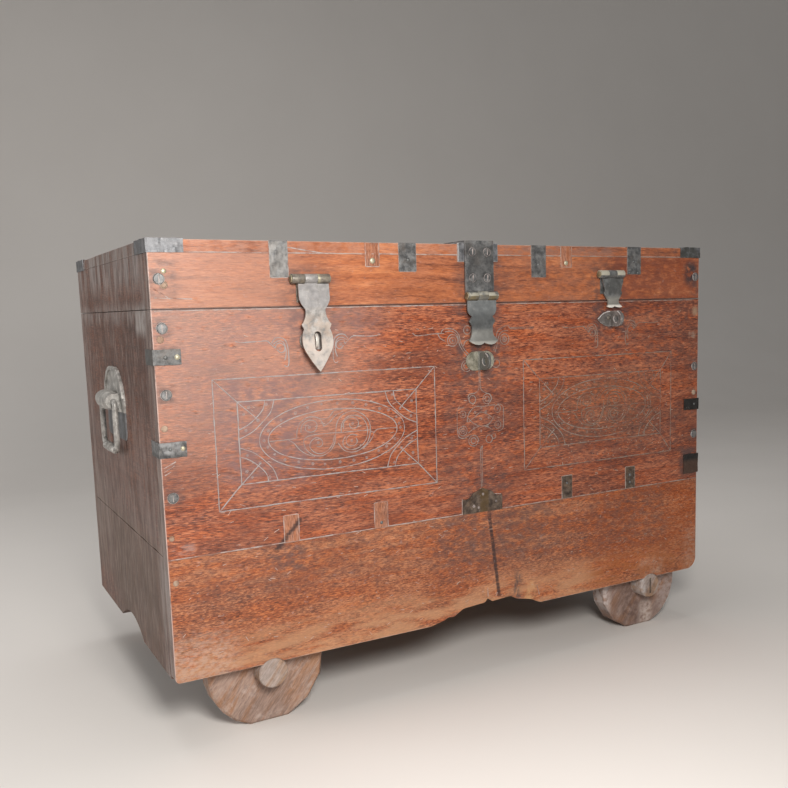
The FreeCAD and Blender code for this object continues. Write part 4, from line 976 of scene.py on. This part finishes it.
middleLines = [
    [(-126, 668), (-120, 663.5), (-107.5, 663.5), (-90, 665), (-75, 665.5), (-62, 665.5)],
    [(-68, 667), (-63, 672.6), (-52, 674.4), (-39, 670.6), (-30.5, 661.7), (-26.7, 649), (-19, 635), (-9, 625)],
    [(-59.5, 668), (-47, 669.3), (-35.6, 663), (-31.3, 654), (-28.8, 642.6), (-20.4, 630), (-11.6, 620)],
    [(-75, 665.5), (-69.6, 656.6), (-59.5, 651.5)], [(-20.4, 641.4), (-16.6, 649), (-6.6, 653)],
    [(138.5, 668.6), (112, 669), (84.3, 669.3), (79, 675.7), (66.6, 673.2), (56.5, 668), (51.5, 658), (50, 645),
     (45, 630)],
    [(138, 671), (112, 671.5), (84, 671.5)],
    [(78, 665.5), (66.6, 665.5), (59, 660.4), (55, 650), (52, 637.5), (47.7, 627)],
    [(11, 597), (11, 566), (8.6, 557.4), (1, 553), (-9, 552), (-13.6, 548), (-11.6, 541)],
    [(14, 597), (14, 566), (16.7, 557.4), (26, 552), (36, 548), (39, 539.6), (31, 535)],
    [(-24, 528), (-35.6, 525.6), (-38, 518), (-38, 485), (-34, 473.4), (-24, 471), (-14, 474.7)],
    [(51.5, 529.4), (62.8, 525.6), (64.8, 515.4), (64, 487.4), (60, 480), (51.5, 477)],
    [(-16.6, 500), (-14, 514), (-4, 525), (6, 528), (18.7, 527), (31, 528), (46, 528)],
    [(-14, 500), (-2.8, 506.5), (6, 513), (13.6, 516.7), (26, 513), (39, 505), (44, 500)],
    [(-16.6, 510), (-6.6, 500), (6, 492.5), (21, 490), (34, 495), (44, 508)],
    [(-14, 480), (-1.5, 487.4), (13.6, 491), (28.8, 487.4), (41.4, 480)],
    [(16, 453), (11.6, 446), (11.6, 411), (12, 374)], [(16, 453), (14.8, 446), (14.8, 411), (15, 375)],
]
middleRings = [(-44, 652.3, 6.3), (-44, 652.3, 11), (-12, 670, 8), (-15.4, 604.5, 10.5), (-15.4, 604.5, 6),
               (69.6, 650.3, 4.6), (69.6, 650.3, 10), (50, 605.7, 8), (-4, 541.6, 7.5), (28.3, 541, 9.5),
               (28.3, 541, 5), (-25.5, 515, 6.4), (51.5, 520.5, 7), (-26, 484.4, 9), (-26, 484.4, 5), (51.5, 490, 7),
               (-3.5, 464.5, 10.5), (-3.5, 464.5, 5.5), (31.3, 464.5, 7.6), (42, 469, 5)]
middleDots = [(-44, 652.3), (69.6, 650.3), (-12, 670), (1, 516.7), (15, 524.3), (25, 516.7), (13.6, 504), (31.3, 505),
              (-1.5, 487.4), (13.6, 481), (28.8, 488.7), (-25.5, 515), (51.5, 520.5), (-26, 484.4), (51.5, 490)]
panels = [{"outer": (-488, -84, 394.5, 607), "inner": (-449.5, -122.5, 434.5, 569),
           "centre": (-281.9, 502.4), "stretch": 1.0},
          {"outer": (112, 496, 395.5, 609), "inner": (150, 466, 436, 571),
           "centre": (309.0, 503.5), "stretch": 0.966}]
flourishes = [(-372.7, 651.7, -1.0), (-265.0, 654.0, 1.0), (281.0, 655.5, -1.0), (382.7, 659.0, 1.0)]
fanRay = (34, 32)
ovals = [(134, 59), (119, 43)]
ovalSteps = 72
ringSteps = 20


def corners(frameSides):
    low, high, bottom, top = frameSides
    return [(low, bottom), (high, bottom), (high, top), (low, top)]


def carvePanel(panel, border, fine, scrolls, dots):
    outer, inner = corners(panel["outer"]), corners(panel["inner"])
    draw(border, outer, closed=True)
    draw(border, inner, closed=True)
    x, z = panel["centre"]
    for near, far in zip(inner, outer):
        draw(border, [far, near])
        turnX, turnZ = math.copysign(1, x - near[0]), math.copysign(1, z - near[1])
        for arc in fanArcs:
            draw(fine, spline([(near[0] + turnX * px, near[1] + turnZ * pz) for px, pz in arc]))
        draw(fine, [near, (near[0] + turnX * fanRay[0], near[1] + turnZ * fanRay[1])])
        dots += [(near[0] + turnX * px, near[1] + turnZ * pz) for px, pz in fanDots]
    for wide, tall in ovals:
        draw(fine, ring(x, z, wide * panel["stretch"], tall, ovalSteps), closed=True)
    for line in motif:
        draw(scrolls, spline(shifted(line, x, z, panel["stretch"])))
    dots += shifted(ovalDots + voluteDots, x, z, panel["stretch"])


carvedLook = {"left": rgb(0.315, 0.278, 0.272), "right": rgb(0.205, 0.152, 0.122), "wood": rgb(0.17, 0.068, 0.046),
              "bare": (0.25, 0.9)}
scrollLook = dict(carvedLook, left=rgb(0.285, 0.236, 0.222), right=rgb(0.18, 0.122, 0.092))
fleckLook = dict(carvedLook, left=rgb(0.42, 0.33, 0.29), right=rgb(0.36, 0.28, 0.225), bare=(0.3, 0.3))
# pale rims on the lugs are partly wear and partly painted highlight; the right staple's plate rim is dust
rimDustAndHighlightLook = dict(carvedLook, left=rgb(0.54, 0.50, 0.48), right=rgb(0.50, 0.46, 0.45), wood=rgb(0.2, 0.19, 0.18),
               bare=(0.5, 0.5))
outlineLook = {"left": rgb(0.38, 0.305, 0.28), "right": rgb(0.29, 0.215, 0.182), "wood": rgb(0.22, 0.08, 0.045),
               "bare": (0.8, 0.8)}
slotLook = {"left": rgb(0.42, 0.37, 0.35), "right": rgb(0.34, 0.28, 0.265), "wood": rgb(0.10, 0.095, 0.092),
            "bare": (0.5, 0.5)}
plugLook = {"left": rgb(0.37, 0.27, 0.20), "right": rgb(0.32, 0.24, 0.18), "wood": rgb(0.19, 0.09, 0.05),
            "bare": (0.8, 0.8)}
# where along the front the left look passes into the right one, and where the wood shows more
dustForm = {"across": (-0.35, 0.35), "bareAcross": (-0.2, 0.3), "patch": alike(28.0), "levels": (0.46, 0.62),
            "rough": 0.85}
# half the width of each kind of line, in millimetres
lineRadius = {"border": 1.0, "fan": 0.85, "scroll": 0.8, "joint": 0.9, "scratch": 0.45, "lug": 0.9, "staple": 0.8,
              "slot": 1.1, "head": 0.8}
punched = {"radius": 1.0, "ring": 2.4, "flat": 0.3}


def dustMaterial(name, look):
    material, tree, shader, where = newMaterial(name)
    along = splitVector(tree, where)[0]
    colour = tint(tree, ramp(tree, along, *dustForm["across"]), look["left"], look["right"])
    bare = ramp(tree, cloud(tree, where, dustForm["patch"], 5.0, 0.65), *dustForm["levels"])
    bare = times(tree, bare, ramp(tree, along, *dustForm["bareAcross"], *look["bare"]))
    feed(tree, shader["Base Color"], tint(tree, bare, colour, look["wood"]))
    shader["Roughness"].default_value = dustForm["rough"]
    return material


def drawLines(name, sheet, radius, material, body, lift=0.0, wobble=2.0, turn=frontTurn):
    settings = {"Radius": radius * mm, "Step": lineForm["step"], "Wobble": wobble * mm, "Flat": lineForm["flat"],
                "Lift": lift * mm, "Material": material}
    grow(name, carvedLine, sheet["points"], sheet["edges"], settings, body, turn)


def setStuds(name, spots, radius, ringRadius, flat, material, body, slotName):
    # spots are x, height on the front and how far out, in millimetres
    settings = {"Radius": radius * mm, "Flat": flat, "Ring": ringRadius * mm, "Uneven": studForm["uneven"],
                "Material": material}
    grow(name, studs, [tuple(Vector(spot) * mm) for spot in spots], [], settings, body, frontTurn)


def makeCarving():
    border, fine, scrolls, dots = newSheet(), newSheet(), newSheet(), []
    for panel in panels:
        carvePanel(panel, border, fine, scrolls, dots)
    for x, z, flip in flourishes:
        for line in flourish:
            draw(fine, spline(shifted(line, x, z, 1.0, flip)))
    for line in middleLines:
        draw(scrolls, spline(line))
    for x, z, radius in middleRings:
        draw(scrolls, ring(x, z, radius, radius, ringSteps), closed=True)
    dots += middleDots + [(x, z) for x, z, flip in flourishes]
    dust = dustMaterial("carvingDust", carvedLook)
    scrollDust = dustMaterial("scrollDust", scrollLook)
    drawLines("carvedBorders", border, lineRadius["border"], dust, "chest")
    drawLines("carvedFans", fine, lineRadius["fan"], dust, "chest")
    drawLines("carvedScrolls", scrolls, lineRadius["scroll"], scrollDust, "chest")
    setStuds("punchedDots", [(x, z, 0.0) for x, z in dots], *punched.values(), dust, "chest", "red_wood")


makeCarving()
print("carving laid on the front")


# Dust along joints and round the irons, scratches, plugs, nails and the slots of the screws

def pieceBoxes(nodeName):
    # x and height ranges of a node's separate solids on the front
    shape = mergedShape(nodeName)
    unseen, boxes = set(shape.verts), []
    while unseen:
        stack, found = [unseen.pop()], []
        while stack:
            vert = stack.pop()
            found.append((vert.co.x / mm, vert.co.z / mm - drop))
            fresh = {edge.other_vert(vert) for edge in vert.link_edges} & unseen
            unseen.difference_update(fresh)
            stack += fresh
        boxes.append([pick(values) for values in zip(*found) for pick in (min, max)])
    shape.free()
    return sorted(boxes)


def outline(sheet, nodeName, fromTop):
    # three sides of every piece, from the edge it hangs from or stands on
    for left, right, bottom, top in pieceBoxes(nodeName):
        start, end = (top, bottom) if fromTop else (bottom, top)
        draw(sheet, [(left, start), (left, end), (right, end), (right, start)])


joints = {"chest": [((-570, jointZ + 0.4), (570, jointZ + 0.4)), ((-570, seamZ - 2.6), (560, seamZ - 2.6))],
          "lid": [((-570, plankZ), (570, plankZ))]}
outlined = {"chest": ("joint_plates", "body_patches"), "lid": ("lid_straps", "lid_patches", "centre_bracket")}
scrapes = {"chest": [[(-571, 474), (-552, 483)], [(-571, 468), (-554, 477)], [(-570, 463), (-560, 468)],
                     [(21.5, 176), (22.5, 158)], [(44, 163), (40, 155)], [(138, 160), (144, 140)],
                     [(-10, 357.6), (1, 366.5), (11, 373), (26, 362), (41, 358), (56.5, 356)],
                     [(-31, 356), (-32, 328)]],
           "lid": [[(-354, 815), (-320, 810), (-281, 804.5)], [(-569, 749.7), (-556, 742), (-545, 734)],
                   [(-568, 736), (-540, 735), (-511, 734)], [(-14.5, 786), (-14, 765), (-13.5, 742)]]}
jointWobble = 1.4
scratches = {"seed": 5, "count": 300, "x": (-560, 540), "z": (140, 690), "length": (2.5, 10), "lean": 0.45}
panelSpecks = {"seed": 9, "count": 170, "x": (150, 470), "z": (400, 575), "length": (1.5, 5), "lean": 0.9}


def makeDust():
    dust = dustMaterial("outlineDust", outlineLook)
    for body, name in (("chest", "dustOnChest"), ("lid", "dustOnLid")):
        sheet = newSheet()
        for line in joints[body]:
            draw(sheet, line)
        for nodeName in outlined[body]:
            outline(sheet, nodeName, body == "lid")
        for line in scrapes[body]:
            draw(sheet, line)
        drawLines(name, sheet, lineRadius["joint"], dust, body, wobble=jointWobble)
    fine = newSheet()
    for field in (scratches, panelSpecks):
        chance = random.Random(field["seed"])
        for count in range(field["count"]):
            x, z = chance.uniform(*field["x"]), chance.uniform(*field["z"])
            reach, lean = chance.uniform(*field["length"]), chance.gauss(0.0, field["lean"])
            draw(fine, [(x, z), (x + reach * math.cos(lean), z + reach * math.sin(lean))])
    fleckDust = dustMaterial("scratchDust", fleckLook)
    drawLines("scratches", fine, lineRadius["scratch"], fleckDust, "chest")


# places on a lug are measured from the front; under and top pick the points that get a pale rim, partly wear and partly
# painted highlight
lug = {"hole": 21.0, "bore": 8.0, "boreSteps": 20, "under": slice(8, 17), "nose": 20.5, "rise": 14.8, "noseSteps": 24,
       "top": slice(2, 6), "half": 2.5}
stapleRim = [(295, 682.4), (308.2, 692.8), (322.5, 696.5), (330, 696.6)]
stapleLift = 3.0
rimWobble = 0.6


def makeRims():
    # pale rims on the left side of a lug, under its hole and on the top of its nose, partly wear and partly painted
    # highlight, and a worn, dusty rim on the right staple's plate
    rim = dustMaterial("rimDustAndHighlight", rimDustAndHighlightLook)
    for nodeName in ("staple_centre", "staple_right"):
        low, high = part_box(nodeName)
        lines = newSheet()
        draw(lines, ring(lug["hole"], 0, lug["bore"], lug["bore"], lug["boreSteps"])[lug["under"]])
        draw(lines, ring(lug["nose"], 0, lug["rise"], lug["rise"], lug["noseSteps"])[lug["top"]])
        lugTurn = Matrix(((0, 0, -1, (low.x + high.x) / 2 - lug["half"] * mm), (-1, 0, 0, frontY),
                          (0, 1, 0, (low.z + high.z) / 2), (0, 0, 0, 1)))
        drawLines(nodeName + "Rims", lines, lineRadius["lug"], rim, "chest", 0.0, rimWobble, lugTurn)
    edge = newSheet()
    draw(edge, spline(stapleRim))
    drawLines("stapleEdge", edge, lineRadius["staple"], rim, "chest", stapleLift, rimWobble)


# rows of name, body, head radius, how far out and places
screwSets = [("edge", "chest", 8.4, 0.0, [(-560, 690), (-560, 587.7), (-560, 426), (564, 574), (564, 426)]),
             ("lid", "lid", 8.4, 0.0, [(-560, 764.8), (564, 764.8)]),
             ("strap", "lid", 7.2, 6.5, [(-2.6, 810.4), (29.1, 810.4), (-2.6, 763.8), (29.1, 763.8)])]
screwDust = {"slotShare": 0.7, "slotLift": 2.4, "slotWobble": 0.4, "headLift": 0.8, "headSteps": 16}


def makeScrewDust(pale):
    for name, body, radius, out, spots in screwSets:
        bars, rims = newSheet(), newSheet()
        for x, z in spots:
            half = screwDust["slotShare"] * radius
            draw(bars, [(x, z - half), (x, z + half)])
            draw(rims, ring(x, z, radius, radius, screwDust["headSteps"]), closed=True)
        drawLines(name + "ScrewSlots", bars, lineRadius["slot"], pale, body, out + screwDust["slotLift"],
                  screwDust["slotWobble"])
        drawLines(name + "ScrewRims", rims, lineRadius["head"], pale, body, out + screwDust["headLift"],
                  rimWobble)


def makeFasteners(pale, plug):
    # places first, then radius, hoop, how flat, material, body and slot; the slot is not used
    iron, brassEdge, old = ironMaterials["steel"], edgeMaterials["brass"], ironMaterials["knuckle"]
    for name, spots, *look in (
            ("strapStuds", [(-540, 645.5, 2), (-540, 503, 2)], 4.2, 3.9, 0.5, brassEdge, "chest", "aged_brass"),
            ("chestRivets", [(-558, 645.5, 2), (-559.6, 503, 2), (563.5, 492, 2), (215, 358, 0.5), (381, 355.5, 0.5),
                             (381, 340, 0.5), (-200, 336, 0.3)], 3.2, 3.0, 0.5, iron, "chest", "dark_iron"),
            ("tongueNails", [(-7, 340, 2.2), (13.5, 361, 2.2), (43, 344, 2.2), (3.5, 336, 2.2)], 1.3, 2.6, 0.5, pale,
             "chest", "pale_iron"),
            ("lidRivets", [(-131, 796, 0.5), (150, 789, 0.5), (390, 796, 0.5), (379, 773, 0.5), (402, 773, 0.5)],
             3.4, 3.1, 0.5, iron, "lid", "dark_iron"),
            ("lidBrass", [(-200, 794, 0.3), (216.5, 792, 0.3), (-552, 776.5, 0.0)], 5.0, 4.6, 0.3, brassEdge, "lid",
             "aged_brass"),
            ("stapleRivet", [(321.7, 683.9, 3)], 4.6, 4.4, 0.3, old, "chest", "aged_brass"),
            ("lidPlug", [(-553, 755.5, 0.0)], 4.4, 5.5, 0.2, plug, "lid", "patch_wood"),
            ("plugs", [(-563.5, 673, 0), (-566, 536, 0), (-566.4, 362, 0), (-564, 289, 0), (563.5, 517, 0)],
             5.6, 5.2, 0.15, plug, "chest", "patch_wood")):
        setStuds(name, spots, *look)


wedge = {"size": (3.4 * mm, 0.8 * mm, 34.0 * mm), "out": 0.1 * mm}


def makeWedge():
    low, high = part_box("axle_right")
    shape = bmesh.new()
    spot = Matrix.Translation(((low.x + high.x) / 2, low.y - wedge["out"], (low.z + high.z) / 2))
    bmesh.ops.create_cube(shape, size=1.0, matrix=spot @ Matrix.Diagonal((*wedge["size"], 1.0)))
    obj = linkShape("axleWedge", shape, [ironMaterials["rust"]])
    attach(obj, "chest")


slotDust = dustMaterial("slotDust", slotLook)
makeDust()
makeRims()
makeScrewDust(slotDust)
makeFasteners(slotDust, dustMaterial("plugWood", plugLook))
makeWedge()
print("dust lines, nails and slots laid")


# Stage: pale sweep, soft light, and the camera where the photograph was taken

stage = {"halfWidth": 9.0, "front": -7.0, "back": 4.0, "bend": 1.6, "top": 6.0, "steps": 12, "patch": alike(2.0),
         "tones": (rgb(0.66, 0.63, 0.60), rgb(0.71, 0.68, 0.65)), "rough": 0.8}


def makeStage():
    back, bend = stage["back"], stage["bend"]
    profile = [(stage["front"], 0.0), (back - bend, 0.0)]
    for step in range(1, stage["steps"] + 1):
        angle = quarter * step / stage["steps"]
        profile.append((back - bend * (1 - math.sin(angle)), bend * (1 - math.cos(angle))))
    profile.append((back, stage["top"]))
    shape = bmesh.new()
    rows = [[shape.verts.new((side * stage["halfWidth"], y, z)) for side in (-1, 1)] for y, z in profile]
    for one, two in zip(rows, rows[1:]):
        shape.faces.new((one[0], one[1], two[1], two[0])).smooth = True
    material, tree, shader, where = newMaterial("paleFloor")
    feed(tree, shader["Base Color"], tint(tree, cloud(tree, where, stage["patch"], 3.0), *stage["tones"]))
    shader["Roughness"].default_value = stage["rough"]
    linkShape("sweep", shape, [material])


# rows of place, aim, size, power and colour
lamps = {"keyLamp": ((-0.6, -1.65, 1.05), (-0.4, -0.31, 0.55), 0.5, 28.5, (1.0, 0.97, 0.93)),
         "sideLamp": ((-3.2, 0.6, 1.5), (-0.5, 0.1, 0.5), 1.8, 30.0, (1.0, 0.99, 0.98)),
         "topLamp": ((-0.2, 0.4, 3.4), (0.0, 0.0, 0.6), 2.4, 40.0, (1.0, 0.98, 0.96))}
room = {"colour": rgb(0.93, 0.92, 0.91), "strength": 0.28}


def makeLight():
    for name, (spot, aim, size, power, colour) in lamps.items():
        lamp = bpy.data.lights.new(name, "AREA")
        lamp.shape = "DISK"
        lamp.size = size
        lamp.energy = power
        lamp.color = colour
        obj = link(name, lamp)
        obj.location = spot
        obj.visible_camera = False
        obj.rotation_euler = (Vector(aim) - Vector(spot)).to_track_quat("-Z", "Y").to_euler()
    world = bpy.data.worlds.new("room")
    world.use_nodes = True
    background = world.node_tree.nodes["Background"].inputs
    background[0].default_value = room["colour"]
    background[1].default_value = room["strength"]
    bpy.context.scene.world = world


view = {"spot": (-0.892, -1.730, 0.700), "azimuth": 30.57, "fall": 7.70, "roll": -1.4, "lens": 41.35, "sensor": 36.0,
        "shift": (-0.0711, 0.0482)}


def makeCamera():
    camera = bpy.data.cameras.new("camera")
    camera.sensor_width = view["sensor"]
    camera.lens = view["lens"]
    camera.shift_x, camera.shift_y = view["shift"]
    obj = link("camera", camera)
    azimuth, fall, roll = [math.radians(view[key]) for key in ("azimuth", "fall", "roll")]
    ahead = Vector((math.sin(azimuth) * math.cos(fall), math.cos(azimuth) * math.cos(fall), -math.sin(fall)))
    turn = ahead.to_track_quat("-Z", "Y").to_matrix().to_4x4()
    obj.matrix_world = Matrix.Translation(view["spot"]) @ turn @ Matrix.Rotation(roll, 4, "Z")
    bpy.context.scene.camera = obj


makeStage()
makeLight()
makeCamera()
bpy.context.scene.view_settings.view_transform = "Standard"
print("stage, light and camera set")
